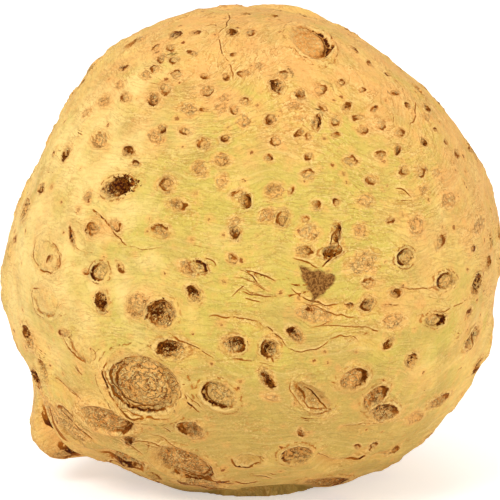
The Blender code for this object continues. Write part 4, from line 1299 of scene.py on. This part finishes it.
# A pale lip along one side of each line: a painted highlight
colour = toned(colour, "fleck and highlight", masks["Skin Lip Highlight"], 0.50)
colour = drawn(product(masks["Skin Line"], 0.72), colour, "brown line")
colour = toned(colour, "line", rise(masks["Skin Line"], 0.85, 1.0))
hair = gap_to(noise(drawn_out(0.035, 0.42), 1.0, 1.5)[0], 0.5)
hair_where = rise(noise(moved(mm, 0.0, 70.0), 0.12)[0], 0.60, 0.70)
hairline = product(rise(hair, 0.012, 0.003), hair_where, rise(mottle, 0.42, 0.55))
colour = drawn(product(hairline, 0.55), colour, "line")
cut_colour = mixed(rise(mottle, 0.42, 0.62), paint("cut"), paint("cork"))
colour = mixed(cut, colour, cut_colour)

# The soil patch: a blunt triangle pointing down, its sides as half-planes
soil_middle = SKIN_RADIUS * direction(*SOIL_PLACE)
soil_x = scaled(mm_x, 1.0, -float(soil_middle[0]))
soil_z = scaled(mm_z, 1.0, -float(soil_middle[2]) - CENTRE_HEIGHT)
soil_out = scaled(soil_x, SOIL_SIDES[0][0], scaled(soil_z, SOIL_SIDES[0][1], -SOIL_SIDES[0][2]))
for lean, climb, reach in SOIL_SIDES[1:]:
    soil_side = scaled(soil_x, lean, scaled(soil_z, climb, -reach))
    soil_out = work("MAXIMUM", soil_out, soil_side)
soil_out = work("ADD", soil_out, scaled(mottle, 3.0, -1.5))
soil = product(rise(soil_out, 0.3, -0.5), rise(mm_y, *SOIL_FRONT))
soil_tone = mixed(rise(pore, 0.42, 0.60), paint("soil"), paint("dry soil"))
colour = mixed(soil, colour, soil_tone)
tree.links.new(colour, shader.inputs["Base Color"])

# Relief too fine for the mesh, in millimetres
height = scaled(pore, 0.20, masks["Height"])
height = scaled(patchy, 1.6, height)
height = scaled(streak, 0.35, height)
height = scaled(mottle, 0.30, height)
height = scaled(band(wrinkle, 0.5, 0.035, 0.010), -0.07, height)
height = scaled(masks["Skin Line"], -0.30, height)
relief = add("Bump", Strength=1.0, Distance=MM, Height=height)
tree.links.new(relief.outputs[0], shader.inputs["Normal"])
tree.links.new(scaled(mottle, *SKIN_ROUGHNESS), shader.inputs["Roughness"])
skin.data.materials.append(skin_look)

# ---------------------------------------------------------------- Studio
# A plain white floor and white surroundings, a wide soft light high at the front left, a
# weaker one at the right, and a camera a little above the root's middle.
CAMERA_HEIGHT_ANGLE = 12.0
CAMERA_DISTANCE = 0.75
CAMERA_LENS = 223.4
SENSOR = 36.0
LIGHTS = [
    ("key", (-0.80, -1.00, 1.20), 0.7, 16.5),
    ("fill", (1.50, -0.60, 0.40), 0.9, 9.5),
    ("top", (0.10, 0.20, 1.50), 1.0, 5.5),
]
SURROUND = 0.46
FLOOR_HALF = 4.0
FLOOR_TONE = 0.92
FLOOR_ROUGHNESS = 0.9
FLOOR_GLOW = 0.45
FLOOR_LIGHT = 0.12


def aim(thing, place, target):
    """Puts a lamp or camera at a place, looking at a target."""
    line = np.array(target) - np.array(place)
    flat = math.hypot(line[0], line[1])
    thing.location = place
    thing.rotation_euler = (math.pi / 2.0 + math.atan2(line[2], flat), 0.0, math.atan2(-line[0], line[1]))


middle = np.array([0.0, 0.0, CENTRE_HEIGHT * MM])
lens = bpy.data.cameras.new("camera")
lens.lens = CAMERA_LENS
lens.sensor_width = SENSOR
camera = bpy.data.objects.new("camera", lens)
bpy.context.scene.collection.objects.link(camera)
aim(camera, tuple(middle + direction(0.0, CAMERA_HEIGHT_ANGLE) * CAMERA_DISTANCE), middle)
bpy.context.scene.camera = camera
for name, place, size, power in LIGHTS:
    lamp = bpy.data.lights.new(name, "AREA")
    lamp.size = size
    lamp.energy = power
    holder = bpy.data.objects.new(name, lamp)
    bpy.context.scene.collection.objects.link(holder)
    aim(holder, place, middle)

floor_corners = np.array([[-1.0, -1.0, 0.0], [1.0, -1.0, 0.0], [1.0, 1.0, 0.0], [-1.0, 1.0, 0.0]])
table_top = mesh_object("floor", FLOOR_HALF * floor_corners, np.array([[0, 1, 2, 3]]))
floor_look = bpy.data.materials.new("floor")
floor_look.use_nodes = True
tree = floor_look.node_tree
floor_shader = tree.nodes["Principled BSDF"]
floor_shader.inputs["Base Color"].default_value = (FLOOR_TONE,) * 3 + (1.0,)
floor_shader.inputs["Roughness"].default_value = FLOOR_ROUGHNESS
floor_shader.inputs["Emission Strength"].default_value = 1.0
straight = add("LightPath").outputs["Is Camera Ray"]
glow = mixed(straight, (FLOOR_LIGHT,) * 3 + (1.0,), (FLOOR_GLOW,) * 3 + (1.0,))
tree.links.new(glow, floor_shader.inputs["Emission Color"])
table_top.data.materials.append(floor_look)

world = bpy.data.worlds.new("surroundings")
world.use_nodes = True
bpy.context.scene.world = world
tree = world.node_tree
backdrop = tree.nodes["Background"]
seen = add("LightPath").outputs["Is Camera Ray"]
brightness = scaled(seen, 1.0 - SURROUND, SURROUND)
tree.links.new(brightness, backdrop.inputs["Strength"])
backdrop.inputs["Color"].default_value = (1.0, 1.0, 1.0, 1.0)
